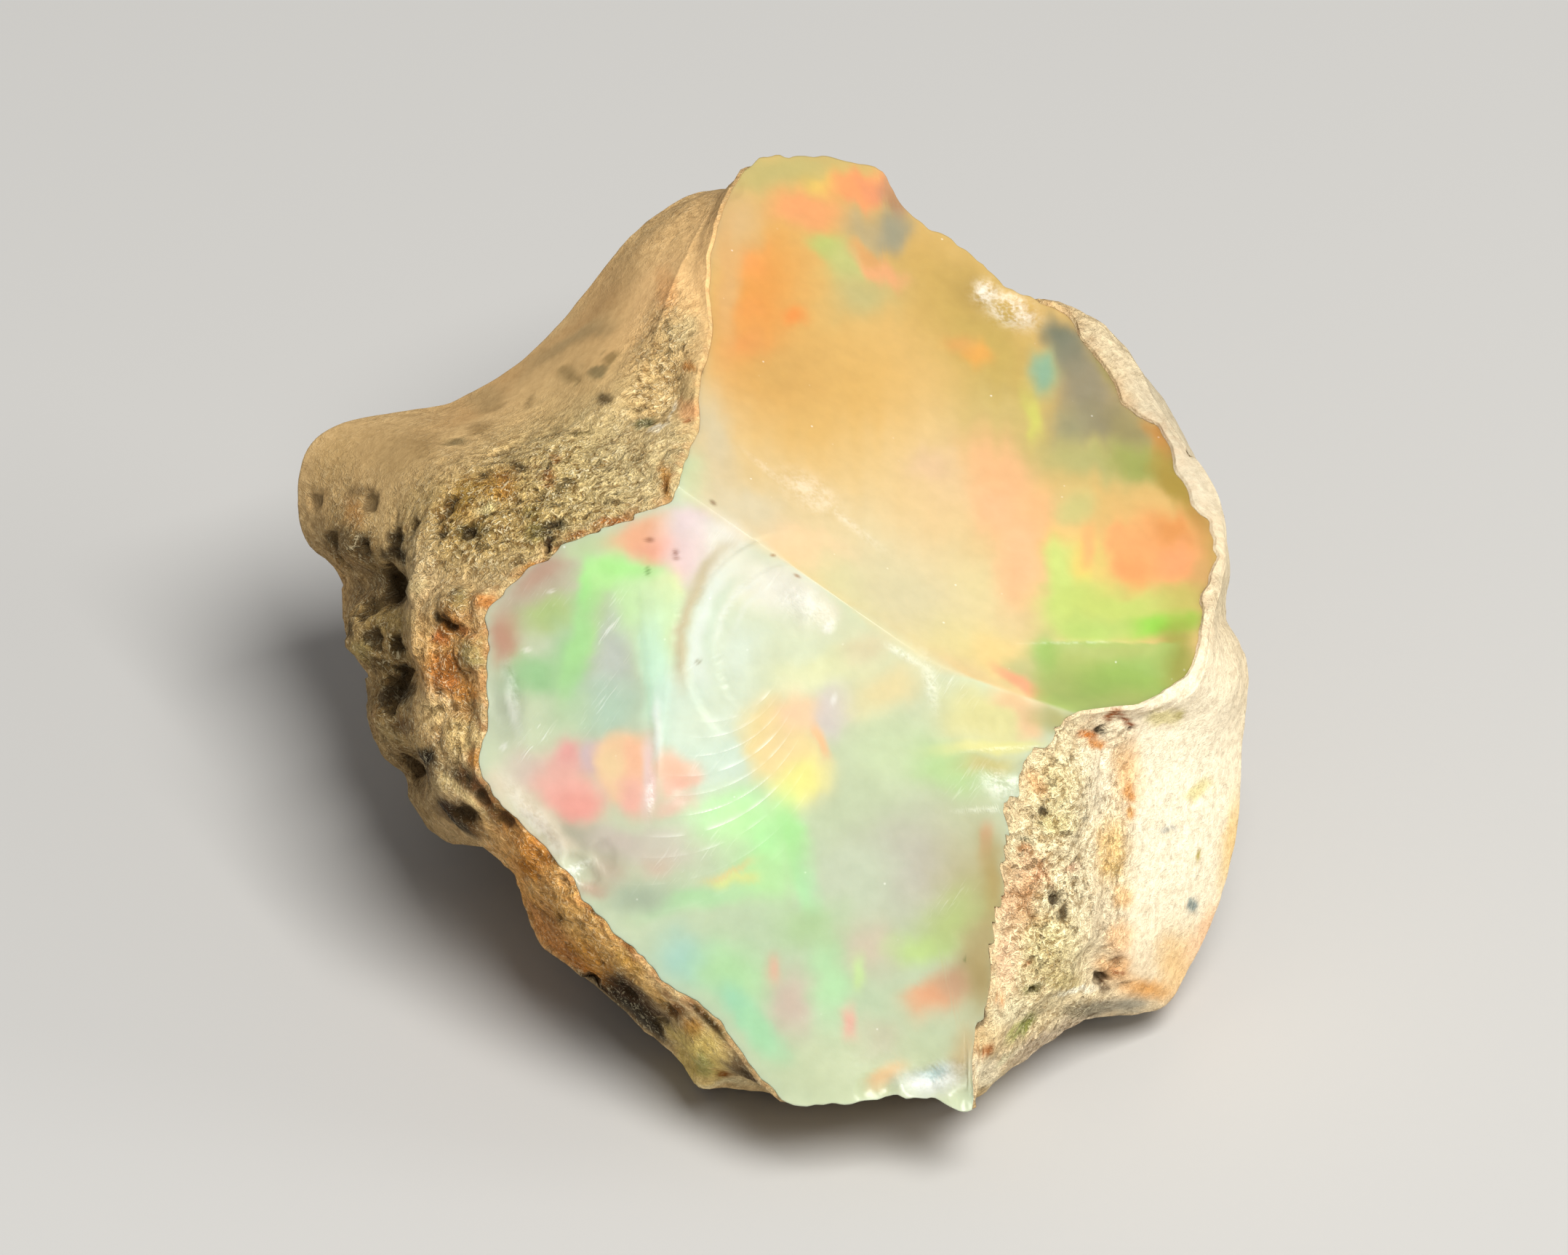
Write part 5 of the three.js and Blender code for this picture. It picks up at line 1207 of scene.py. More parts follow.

# %% [markdown]
# ## The tints of the matrix
#
# The rhyolite is sandy tan, orange-brown where iron has stained it, and bleached to cream on the right
# flank. It is painted in the same way. Its pits, cavities and hollows, the dark band beside the opal's
# lower left and the undersides of its lower edges are painted dark, as painted shade, and the far left
# flank is painted a little darker, as painted shade too. The back, which no photograph shows, is an
# even tan that drifts from place to place.

# %% The tints of the rock
ROCK_BODY = "cdb080"
ROCK_FIELDS_AND_SHADE = [
    # upper left, worn smooth; its pits are painted dark, as painted shade
    ("cdac78", -8.0, 5.6, 6, 1.6, 20, 3), ("e4bc80", -3.6, 9.0, 4, 2, 55, 2.6),
    ("f8cc90", -3.0, 9.2, 1.6, 1.1, 60, 2.6), ("e8b074", -2.9, 9.3, 0.29, 0.5, 0, 4.5),
    ("f4c88a", -2.2, 11.2, 0.8, 1.2, -20, 3), ("b98a52", -7.4, 6.9, 2.2, 0.3, 28, 3),
    ("b88c58", -5.4, 8.9, 1.6, 0.3, 45, 3), ("9a7a4c", -9.9, 5.2, 0.5, 0.34, 0, 4.5),
    ("6e6040", -8.85, 5.2, 0.25, 0.12, 10, 4.5), ("927448", -8.15, 5.6, 0.34, 0.21, 10, 4.5),
    ("8a7046", -8.0, 6.4, 0.5, 0.21, 15, 4.5), ("8a7048", -6.2, 7.4, 0.7, 0.35, 38, 3),
    ("94805a", -5.5, 8.0, 0.9, 0.32, 45, 3), ("8e7248", -6.6, 6.15, 0.21, 0.13, 20, 4.5),
    ("94784a", -5.4, 6.75, 0.21, 0.13, 20, 4.5), ("8c7a52", -4.8, 7.1, 0.29, 0.13, 30, 4.5),
    ("a08252", -4.5, 7.5, 0.25, 0.17, 30, 4.5), ("ae9060", -11.4, 4.9, 1.7, 0.9, 5, 3),
    ("b4945e", -12.5, 4.8, 0.8, 0.8, 0, 3), ("9a7a50", -12.7, 3.75, 0.42, 0.29, 0, 4.5),
    ("9c7c50", -12.5, 3.1, 0.5, 0.42, -40, 4.5),
    # crisp straw rock beside the opal; its pits are painted dark, as painted shade
    ("dcc48c", -5.0, 4.3, 3.2, 1.7, 28, 3), ("e0ca98", -3.7, 4.7, 1.2, 1.3, 20, 3),
    ("dcbc86", -3.2, 6.8, 1.5, 0.7, 75, 3), ("e2c894", -2.5, 8.2, 0.5, 0.38, 30, 4.5),
    ("d0b072", -8.2, 3.0, 1.8, 1, 10, 3), ("c69a50", -7.6, 3.9, 0.5, 0.42, 30, 4.5),
    ("c89048", -7.35, 3.9, 0.12, 0.34, 0, 4.5), ("e4d29a", -7.9, 3.3, 0.29, 0.25, 0, 4.5),
    ("c09a50", -8.5, 3.6, 0.7, 0.3, 50, 3), ("4c3010", -8.95, 3.3, 0.35, 0.13, 52, 4.5),
    ("5e4c20", -9.1, 2.65, 0.2, 0.15, 0, 4.5), ("5a4c20", -8.3, 2.62, 0.35, 0.24, 10, 4.5),
    ("352a12", -9.88, 2.8, 0.13, 0.3, 0, 4.5), ("6e5a2c", -7.8, 2.6, 0.17, 0.12, 0, 4.5),
    ("948650", -6.5, 2.65, 0.3, 0.25, 0, 4.5), ("9c8850", -6.6, 3.2, 0.25, 0.21, 0, 4.5),
    ("4c4630", -5.95, 2.85, 0.29, 0.13, 8, 4.5), ("1a0f06", -6.15, 2.4, 0.1, 0.46, 0, 4.5),
    ("3c3218", -7.0, 4.45, 0.22, 0.1, -25, 4.5), ("4a3c20", -8.0, 4.22, 0.24, 0.08, 35, 4.5),
    ("a0622c", -6.1, 4.05, 0.13, 0.24, -15, 4.5), ("a06028", -5.95, 4.6, 0.08, 0.17, 0, 4.5),
    ("3c3a28", -4.2, 3.65, 0.15, 0.06, 25, 4.5), ("6c6a48", -3.5, 5.6, 0.27, 0.13, 30, 4.5),
    ("827044", -5.3, 5.35, 0.29, 0.07, 5, 4.5), ("6a5a3a", -4.6, 6.3, 0.17, 0.17, 0, 4.5),
    ("f6ead0", -3.1, 5.48, 0.27, 0.05, 28, 4.5), ("f4e6c8", -2.72, 5.95, 0.25, 0.05, 58, 4.5),
    ("b47c40", -2.35, 7.2, 0.17, 0.12, 0, 4.5), ("dca874", -2.3, 5.95, 0.25, 0.29, 0, 4.5),
    ("a4602c", -2.3, 5.64, 0.15, 0.06, 0, 4.5), ("c08c48", -2.9, 3.95, 0.13, 0.42, 0, 4.5),
    ("ac7038", -4.4, 2.88, 0.5, 0.12, 20, 4.5), ("b07c40", -5.35, 2.5, 0.29, 0.1, 28, 4.5),
    ("c89048", -6.6, 1.62, 0.42, 0.12, 38, 4.5),
    # knobs and rust above and beside the left end of the opal; the dark ring round the largest knob and the
    # pits beside it are painted shadow
    ("dcc090", -9.6, 0.6, 0.4, 1.9, 0, 3), ("ceb888", -9.75, 1.15, 0.29, 0.25, 0, 4.5),
    ("948a5c", -8.55, 0.75, 0.35, 0.29, 0, 4.5), ("33240e", -8.9, 0.45, 0.1, 0.35, -15, 4.5),
    ("38240f", -8.7, 0.15, 0.25, 0.12, 0, 4.5), ("3c2c14", -8.75, 1.0, 0.25, 0.07, 25, 4.5),
    ("cc8848", -7.85, 0.72, 0.29, 0.2, 0, 4.5), ("d4924e", -7.5, 0.5, 0.17, 0.17, 0, 4.5),
    ("d8a868", -8.9, -0.9, 1, 1.3, 0, 3), ("d07840", -9.05, -0.2, 0.3, 0.2, 0, 4.5),
    ("c47c48", -8.5, -0.1, 0.25, 0.1, -10, 4.5), ("b4a26c", -8.2, -0.68, 0.35, 0.4, 0, 4.5),
    ("8c6238", -8.8, -0.98, 0.25, 0.24, 0, 4.5), ("e88a50", -8.95, -1.45, 0.3, 0.17, -10, 4.5),
    ("e8a454", -8.45, -1.75, 0.35, 0.29, 0, 4.5), ("dcac6c", -8.5, -2.4, 0.34, 0.25, 0, 4.5),
    ("dcb888", -9.25, -2.4, 0.5, 0.7, 20, 3), ("98643c", -9.1, -2.9, 0.17, 0.42, 30, 4.5),
    ("d4b880", -8.55, -2.95, 0.5, 0.5, 0, 4.5), ("cc9450", -8.1, -3.6, 0.17, 0.29, 0, 4.5),
    # far left flank, a little darker as painted shade of a flank turned from the light, with its cavities
    # painted near black as painted shade
    ("b09260", -11.2, -0.6, 4.6, 1.15, -78, 4), ("b88440", -11.9, 1.25, 0.4, 0.7, 0, 3),
    ("a87840", -11.4, 3.0, 0.21, 0.34, 0, 4.5), ("6e5838", -11.2, 3.52, 0.38, 0.17, 0, 4.5),
    ("0f0a05", -12.25, 2.25, 0.46, 0.17, -48, 4.5), ("2c2212", -11.45, 2.2, 0.29, 0.25, 0, 4.5),
    ("120d06", -10.4, 2.5, 0.22, 0.22, 0, 4.5), ("120d06", -10.45, 2.02, 0.35, 0.22, 0, 4.5),
    ("5c4020", -11.15, 1.45, 0.25, 0.34, 0, 4.5), ("140e08", -10.4, 1.1, 0.35, 0.46, 0, 4.5),
    ("3c2410", -11.2, 0.65, 0.42, 0.25, 0, 4.5), ("b49860", -10.7, 0.2, 0.7, 0.3, 0, 3),
    ("3c3016", -11.1, -0.3, 0.3, 0.25, 0, 4.5), ("4c3c1c", -10.4, -0.45, 0.17, 0.34, 0, 4.5),
    ("b8a468", -11.45, -0.7, 0.34, 0.34, 0, 4.5), ("5c4824", -10.9, -1.05, 0.34, 0.17, 0, 4.5),
    ("0c0803", -10.5, -1.85, 0.52, 0.3, 0, 4.5), ("140e06", -10.1, -1.35, 0.17, 0.34, 0, 4.5),
    ("5c4828", -11.6, -1.65, 0.25, 0.25, 0, 4.5), ("a87c50", -11.25, -2.4, 0.25, 0.42, 0, 4.5),
    ("8c6c44", -10.2, -2.65, 0.34, 0.25, 0, 4.5), ("b09868", -10.7, -3.0, 0.42, 0.25, -20, 4.5),
    ("0c0805", -9.5, -3.5, 0.27, 0.25, 0, 4.5), ("241a12", -10.0, -3.95, 0.65, 0.4, 0, 3),
    ("5c4838", -9.9, -4.35, 0.17, 0.13, 0, 4.5), ("84704a", -9.6, -5.2, 0.5, 0.34, -45, 4.5),
    ("b8a070", -9.1, -4.15, 0.17, 0.27, 0, 4.5), ("161009", -9.0, -5.0, 0.38, 0.3, 0, 4.5),
    ("0e0a06", -8.4, -5.2, 0.5, 0.29, -35, 4.5),
    # lower left strip; its pits, the dark band beside the opal and its underside are painted dark, as painted
    # shade
    ("3a2e1e", -8.3, -4.2, 0.85, 0.25, -38, 4), ("3c3020", -7.35, -5.15, 0.75, 0.36, -45, 4),
    ("dcc48e", -8.5, -4.55, 0.75, 0.09, -42, 4), ("d4b47c", -7.75, -5.45, 0.46, 0.1, -62, 4.5),
    ("ecac5c", -6.3, -7.2, 1.9, 0.85, -52, 3), ("c8883c", -6.55, -6.0, 0.5, 0.3, -35, 4.5),
    ("905c20", -6.2, -6.3, 0.34, 0.13, -40, 4.5), ("5c3c18", -6.05, -6.25, 0.29, 0.08, -45, 4.5),
    ("d8a868", -6.2, -7.0, 0.5, 0.34, 0, 4.5), ("b0743c", -6.1, -7.9, 0.46, 0.29, -30, 4.5),
    ("4c2c12", -5.85, -7.95, 0.1, 0.15, 0, 4.5), ("e0b068", -4.8, -8.5, 1.6, 0.5, -45, 3),
    ("dc9854", -6.0, -8.6, 0.8, 0.3, -40, 3), ("b4702c", -5.2, -9.2, 0.8, 0.25, -30, 3),
    ("c89c50", -3.9, -9.2, 0.5, 0.17, -45, 4.5), ("5a3a18", -4.9, -7.75, 0.25, 0.07, -30, 4.5),
    ("6a4a20", -3.9, -8.75, 0.25, 0.08, -45, 4.5), ("160f08", -4.95, -9.65, 0.35, 0.17, -15, 4.5),
    ("221c14", -3.95, -10.0, 0.75, 0.34, -38, 4), ("6e685c", -3.75, -10.5, 0.5, 0.18, -38, 4.5),
    ("43382a", -3.1, -10.9, 0.42, 0.34, -30, 4.5), ("e6ba74", -3.3, -9.95, 0.85, 0.13, -42, 4),
    ("6a4820", -2.6, -10.5, 0.25, 0.21, 0, 4.5), ("c08030", -2.2, -10.95, 0.25, 0.21, 0, 4.5),
    ("dcc272", -2.0, -11.8, 0.7, 0.8, 0, 4), ("b0a864", -1.95, -11.9, 0.25, 0.29, 0, 4.5),
    ("e8cc88", -2.1, -12.4, 0.5, 0.21, 0, 4.5), ("4c3a1c", -1.7, -10.75, 0.75, 0.12, -45, 4),
    ("8c5418", -1.35, -12.25, 0.24, 0.1, -20, 4.5), ("7c6a4c", -0.95, -12.0, 0.42, 0.27, -45, 4.5),
    ("4a3a24", -0.6, -12.3, 0.42, 0.1, -35, 4.5), ("e4d2a4", -1.3, -12.6, 0.9, 0.1, 0, 3),
    # broken rim on the right of the opal; its pits and the underside of its lower edge are painted dark, as
    # painted shade
    ("f4e4bc", 7.5, -6.5, 5, 1.4, 86, 3), ("e4d4a0", 8.0, -4.4, 0.7, 0.8, 0, 3),
    ("e8bc88", 7.25, -4.3, 0.42, 0.18, -60, 4.5), ("dccc90", 7.8, -5.3, 0.5, 0.25, 0, 4.5),
    ("18100a", 7.4, -5.02, 0.09, 0.09, 0, 4.5), ("55583c", 8.5, -5.2, 0.07, 0.18, 15, 4.5),
    ("7c7c60", 6.95, -5.85, 0.17, 0.07, -20, 4.5), ("bc7840", 6.9, -6.05, 0.21, 0.1, 0, 4.5),
    ("ecc49c", 7.1, -6.6, 0.5, 0.42, -30, 4.5), ("c48058", 7.2, -6.8, 0.21, 0.12, 20, 4.5),
    ("b47c50", 7.5, -6.75, 0.42, 0.06, -62, 4.5), ("c07c50", 8.25, -6.6, 0.24, 0.12, 0, 4.5),
    ("f0c8a0", 6.6, -7.5, 0.4, 0.7, 0, 3), ("dcac80", 7.0, -7.3, 0.2, 0.7, -10, 3),
    ("2c120c", 7.68, -7.42, 0.12, 0.2, 0, 4.5), ("a06c44", 7.2, -7.95, 0.29, 0.1, -30, 4.5),
    ("e0d098", 7.7, -8.8, 0.7, 0.9, 0, 3), ("f0cca8", 6.4, -9.0, 0.3, 0.8, 0, 3),
    ("a87040", 7.0, -9.2, 0.08, 0.17, 0, 4.5), ("858044", 7.15, -9.9, 0.27, 0.12, 10, 4.5),
    ("d8c484", 8.0, -9.7, 0.42, 0.25, 0, 4.5), ("c48044", 6.2, -10.2, 0.12, 0.18, 0, 4.5),
    ("e4d8b4", 6.5, -10.5, 0.5, 0.34, 0, 4.5), ("a8a868", 6.8, -10.95, 0.5, 0.13, 50, 4.5),
    ("7a8440", 6.95, -10.78, 0.25, 0.1, 45, 4.5), ("a86c3c", 5.8, -11.5, 0.22, 0.18, 0, 4.5),
    ("f0e4c4", 5.8, -12.2, 0.5, 0.42, 0, 4.5), ("ccd0a4", 6.5, -11.75, 0.42, 0.12, 40, 4.5),
    ("d8c4ac", 7.7, -11.25, 1.5, 0.28, 27, 3), ("6c6450", 9.1, -10.45, 1, 0.24, 5, 4),
    ("504a38", 9.9, -10.35, 0.42, 0.17, 0, 4.5), ("f4f0dc", 8.35, -9.95, 0.5, 0.08, 15, 4.5),
    # bleached flank on the right; its pits are painted dark, as painted shade
    ("f4e8ce", 11.1, -4.6, 5.4, 2.5, 86, 3), ("f6e8cc", 9.1, -4.2, 0.5, 1.2, 0, 3),
    ("f0c898", 9.7, -3.95, 0.34, 0.8, 5, 3), ("d89c60", 9.8, -4.5, 0.11, 0.25, 0, 4.5),
    ("d69a58", 9.85, -5.1, 0.11, 0.18, 0, 4.5), ("ecc88c", 9.35, -6.1, 0.4, 0.8, 0, 3),
    ("e4c080", 9.3, -6.6, 0.25, 0.17, 0, 4.5), ("f4cc98", 9.6, -7.4, 0.29, 0.29, 0, 4.5),
    ("ecc498", 9.5, -8.5, 0.38, 0.42, 0, 4.5), ("dcb080", 9.4, -9.3, 0.46, 0.3, 0, 4.5),
    ("2c120a", 9.07, -9.7, 0.15, 0.22, -15, 4.5), ("8c5430", 9.5, -9.42, 0.25, 0.05, -20, 4.5),
    ("d8a060", 10.4, -9.95, 0.8, 0.24, -12, 3), ("e8c490", 11.2, -9.3, 0.5, 0.8, 0, 3),
    ("ecc49c", 12.0, -8.4, 0.3, 0.8, -30, 3), ("e4c48c", 12.75, -6.0, 0.25, 1.2, -8, 3),
    ("a8a8a0", 10.95, -5.6, 0.18, 0.1, 20, 4.5), ("a89850", 11.77, -6.3, 0.1, 0.17, 0, 4.5),
    ("8c9894", 11.6, -7.66, 0.12, 0.18, -15, 4.5), ("dcd09c", 10.7, -2.45, 0.42, 0.25, 0, 4.5),
    ("c0b47c", 11.15, -2.35, 0.12, 0.17, 0, 4.5), ("e0d4a0", 11.8, -4.5, 0.42, 0.17, 30, 4.5),
    ("140804", 8.9, -2.78, 0.17, 0.11, 10, 4.5), ("98501c", 9.35, -2.42, 0.27, 0.08, 12, 4.5),
    ("8a4418", 9.7, -2.55, 0.2, 0.08, -40, 4.5), ("bc7030", 8.6, -2.9, 0.27, 0.12, -10, 4.5),
    ("dc9858", 8.85, -3.15, 0.21, 0.12, 0, 4.5),
    # thin crust on the upper right
    ("cfc3aa", 11.9, 3.6, 3.6, 0.8, -62, 3), ("d0c0a0", 9.6, 7.7, 1.6, 0.5, -40, 3),
    ("c8bba0", 10.9, 6.0, 1.3, 0.5, -50, 3), ("dccdae", 12.4, 1.6, 0.5, 1.6, 0, 3),
    # hollows painted dark as painted shade, and burnt tints
    ("3c3018", -10.2, -4.2, 0.42, 0.5, 10, 3), ("2e240f", -11.5, 2.2, 0.5, 0.34, 0, 3),
    ("100a06", -4.4, -9.9, 0.7, 0.3, -40, 3), ("30261a", -3.5, -10.55, 0.7, 0.25, -38, 3),
    ("b87828", -6.6, -6.6, 0.4, 0.25, -40, 3), ("e0a048", -5.0, -9.0, 0.6, 0.25, -42, 3),
    ("cc8440", -9.0, -1.2, 0.4, 0.5, 0, 3), ("c08038", -8.8, 0.0, 0.3, 0.3, 0, 3),
    ("e4c48c", -9.3, -2.4, 0.4, 0.4, 0, 3),
]
BACK_BODY = "c2a272"
BACK_PALE = "e6d7b4"
# Where iron stains the rock: x, y, half length, half width, turn and strength
STAINS = [
    (-8.9, -0.6, 1.6, 0.9, -85, 0.35), (-6.0, -8.0, 4.0, 1.0, -45, 0.3), (7.1, -7.0, 3.6, 0.9, 86, 0.3),
    (9.5, -4.5, 4.5, 0.5, 86, 0.25), (8.8, -2.7, 0.8, 0.4, -10, 0.6), (9.4, -9.2, 0.8, 0.5, 0, 0.4),
    (-7.8, 3.6, 1.6, 0.6, 30, 0.4), (-3.0, 9.0, 4.0, 1.2, 52, 0.15),
]
print(len(ROCK_FIELDS_AND_SHADE), "fields and", len(STAINS), "stained areas")

# %% [markdown]
# ## What the rock's material reads
#
# Besides its colour, every point of the rock carries four values: how deep it lies in a pore, which
# gives it a painted shade, how stained it is, how crisp its grain is, and how near it is to the opal,
# where a thin rusty line runs along the contact.

# %% Colour of the matrix
ROCK_BENDS = [(0.09, 0.5, 61), (0.08, 0.22, 62)]
DEEP_BEND = (0.7, 1.8, 66)
FLANK_BENDS = [(0.4, 0.9, 67), (0.15, 0.4, 68)]
BACK_DRIFT = [(0.16, 3.5, 63), (0.1, 1.2, 64)]
RIM_WIDTH = 0.45  # of the rusty band beside the opal, in mm


def rock_colour(points, t):
    """Painted colour of the front, drifting into an even tan behind.

    The fields are painted straight in from the front, so on a steep flank they would run into
    straight-edged stripes. There noise over all three directions bends them more.
    """
    x, y, z = np.moveaxis(points, -1, 0)
    deep_left = ramp((2 - z) / 5) * ramp((5 - x) / 3)
    lower_left = ramp((5.4 - z) / 1.5) * ramp((-4 - y) / 2) * ramp((5 - x) / 3)
    bent = hills(points, ROCK_BENDS) + deep_left * hills(points, [DEEP_BEND])
    bent = bent + lower_left * hills(points, FLANK_BENDS)
    front = painted(x + bent, y - bent, ROCK_BODY, ROCK_FIELDS_AND_SHADE)
    behind = np.zeros_like(front) + linear(BACK_BODY)
    behind = behind * (1 + hills(points, BACK_DRIFT))[..., None]
    pale = ramp(noise(points, 5.0, 65) * 1.6 - 0.1) * ramp((x - 2) / 6)
    behind = mixed(behind, BACK_PALE, 0.8 * pale)
    in_front = (ramp((2.4 - t) / 0.35) * (1 - 0.75 * deep_left))[..., None]
    return behind + (front - behind) * in_front


def rim_share(points, t):
    """1 at the opal and fading over RIM_WIDTH, strongest on the left."""
    x, y = points[..., 0], points[..., 1]
    angle = np.arctan2(y - HUB[1], x - HUB[0])
    away = np.hypot(x - HUB[0], y - HUB[1]) - window_edge(angle)
    left = 0.35 + 0.65 * ramp((-1.5 - x) / 1.5)
    return np.exp(-((np.maximum(0, away) / RIM_WIDTH) ** 2)) * (t < 1.2) * left


DARKEST_PORE = 0.24  # a pore of this depth, in mm, gets the darkest painted shade
first_outer = MATRIX_ROWS["cavity"]
matrix_outer = matrix_grid[first_outer:]
matrix_tint_and_shade = np.zeros(matrix_grid.shape) + linear(ROCK_BODY)
matrix_tint_and_shade[first_outer:] = rock_colour(matrix_outer, matrix_t)
matrix_marks = np.zeros(matrix_grid.shape)
matrix_marks[first_outer:, :, 0] = np.clip(matrix_hollow / DARKEST_PORE, 0, 1)
matrix_marks[first_outer:, :, 1] = area_share(matrix_outer[..., 0], matrix_outer[..., 1], STAINS)
matrix_marks[first_outer:, :, 2] = crispness(matrix_outer)
matrix_rim = np.zeros(matrix_grid.shape[:2])
matrix_rim[first_outer:] = rim_share(matrix_outer, matrix_t)
print("rock mean colour", matrix_tint_and_shade.mean((0, 1)).round(2))


# %% [markdown]
# ## Writing materials as sums
#
# A material in Blender is a net of nodes. Written out link by link it is hard to read, so one small
# class wraps the output of a node: plus, minus, times and power add a Math node, and `add` makes any
# other node from its type, its settings and what goes into its sockets.


# %% Nodes from expressions
class Wire:
    """The output of a node. Sums with numbers or other wires add Math nodes to the same net."""

    def __init__(self, tree, output):
        self.tree = tree
        self.output = output

    def add(self, kind, settings=None, sockets=None, result=0):
        """A new node: its type, its settings (ramp stops as "stops"), its sockets; one output back."""
        node = self.tree.nodes.new(kind)
        for key, value in (settings or {}).items():
            if key == "stops":
                while len(node.color_ramp.elements) < len(value):
                    node.color_ramp.elements.new(1)
                for element, (place, shade) in zip(node.color_ramp.elements, value):
                    element.position = place
                    element.color = shade
            else:
                setattr(node, key, value)
        for key, value in (sockets or {}).items():
            if isinstance(value, Wire):
                self.tree.links.new(value.output, node.inputs[key])
            else:
                node.inputs[key].default_value = value
        return Wire(self.tree, node.outputs[result] if node.outputs else None)

    def math(self, operation, *values, clamp=False):
        """A Math node on wires or numbers."""
        sockets = dict(enumerate(values))
        return self.add("ShaderNodeMath", {"operation": operation, "use_clamp": clamp}, sockets)

    def __add__(self, other):
        return self.math("ADD", self, other)

    def __radd__(self, other):
        return self.math("ADD", other, self)

    def __sub__(self, other):
        return self.math("SUBTRACT", self, other)

    def __rsub__(self, other):
        return self.math("SUBTRACT", other, self)

    def __mul__(self, other):
        return self.math("MULTIPLY", self, other)

    def __rmul__(self, other):
        return self.math("MULTIPLY", other, self)

    def __pow__(self, other):
        return self.math("POWER", self, other)

    def clamped(self):
        """The value held between 0 and 1."""
        return self.math("ADD", self, 0.0, clamp=True)

    def between(self, low, high):
        """0 at low, 1 at high, held outside, with soft ends."""
        return self.add("ShaderNodeMapRange", {"interpolation_type": "SMOOTHSTEP"},
                        {"Value": self, "From Min": low, "From Max": high})

    def mix(self, share, under, over, blend="MIX"):
        """Colour `over` laid on colour `under` by a share."""
        settings = {"data_type": "RGBA", "blend_type": blend}
        return self.add("ShaderNodeMix", settings, {0: share, 6: under, 7: over}, 2)


def new_material(name):
    """An empty material and a wire on its net to start from, with the face frame in millimetres."""
    material = bpy.data.materials.new(name)
    material.use_nodes = True
    tree = material.node_tree
    tree.nodes.clear()
    start = Wire(tree, None)
    place = start.add("ShaderNodeTexCoord", result="Object")
    lean = {"Location": [v * MILLIMETRE for v in FACE_PLACE], "Rotation": (FACE_LEAN, 0, 0),
            "Scale": (MILLIMETRE,) * 3}
    face = place.add("ShaderNodeMapping", {"vector_type": "TEXTURE"}, {"Vector": place, **lean})
    return material, face


def attribute(wire, name, result="Color"):
    """A colour, or with result "Fac" a number, that the mesh carries under a name."""
    return wire.add("ShaderNodeAttribute", {"attribute_name": name}, result=result)


def parts_of(wire):
    """Red, green and blue of a colour as three wires."""
    red = wire.add("ShaderNodeSeparateColor", sockets={"Color": wire})
    node = red.output.node
    return [Wire(wire.tree, node.outputs[k]) for k in range(3)]


def grain(face, scale, detail=2.0, distortion=0.0, rough=0.5):
    """Noise from 0 to 1 with `scale` features to a millimetre."""
    return face.add("ShaderNodeTexNoise", sockets={
        "Vector": face, "Scale": scale, "Detail": detail, "Roughness": rough, "Distortion": distortion})


def finish_surface(material, face, sockets, height):
    """Principled surface with a bump whose height is in millimetres."""
    bump = face.add("ShaderNodeBump", sockets={
        "Strength": 1.0, "Distance": MILLIMETRE, "Height": height}, result="Normal")
    surface = face.add("ShaderNodeBsdfPrincipled", sockets={**sockets, "Normal": bump})
    face.add("ShaderNodeOutputMaterial", sockets={"Surface": surface})
    print(material.name, "uses", len(material.node_tree.nodes), "nodes")
    return material


# %% [markdown]
# ## The opal's finish
#
# The opal glows because light wanders a little way through it, so the shader scatters light under
# the surface. A part of the painted colour is also given off as light of its own: a painted glow
# that stands for the flash of the domains. Over that lies a glassy gloss. Fine white lines, the
# ripples and scratches, and specks of dust are computed in the shader, so they stay sharp at any
# distance. The white of the ripples is a painted highlight on their crests.

# %% Opal material
WHITE = (0.95, 0.95, 0.9, 1)
OPAL_DIM = 0.64  # the painted colours are as shown, and light on them makes them brighter
HACKLE_TURN = math.radians(54)
HACKLE_SIZE = (0.8, 0.09, 1)  # length and width of a scratch, in mm
CLOUD_STOPS = [(0.25, (0.96, 0.96, 0.95, 1)), (0.75, (1.05, 1.05, 1.05, 1))]
SCATTER_SHARE = 0.3
SCATTER_DEPTH = 0.0012  # metres that red light wanders under the surface
SCATTER_REACH = (1.0, 0.75, 0.5)  # how far red, green and blue go, as shares of that
# strength of the painted glow, which stands for the flash of the domains
PAINTED_GLOW = 0.12


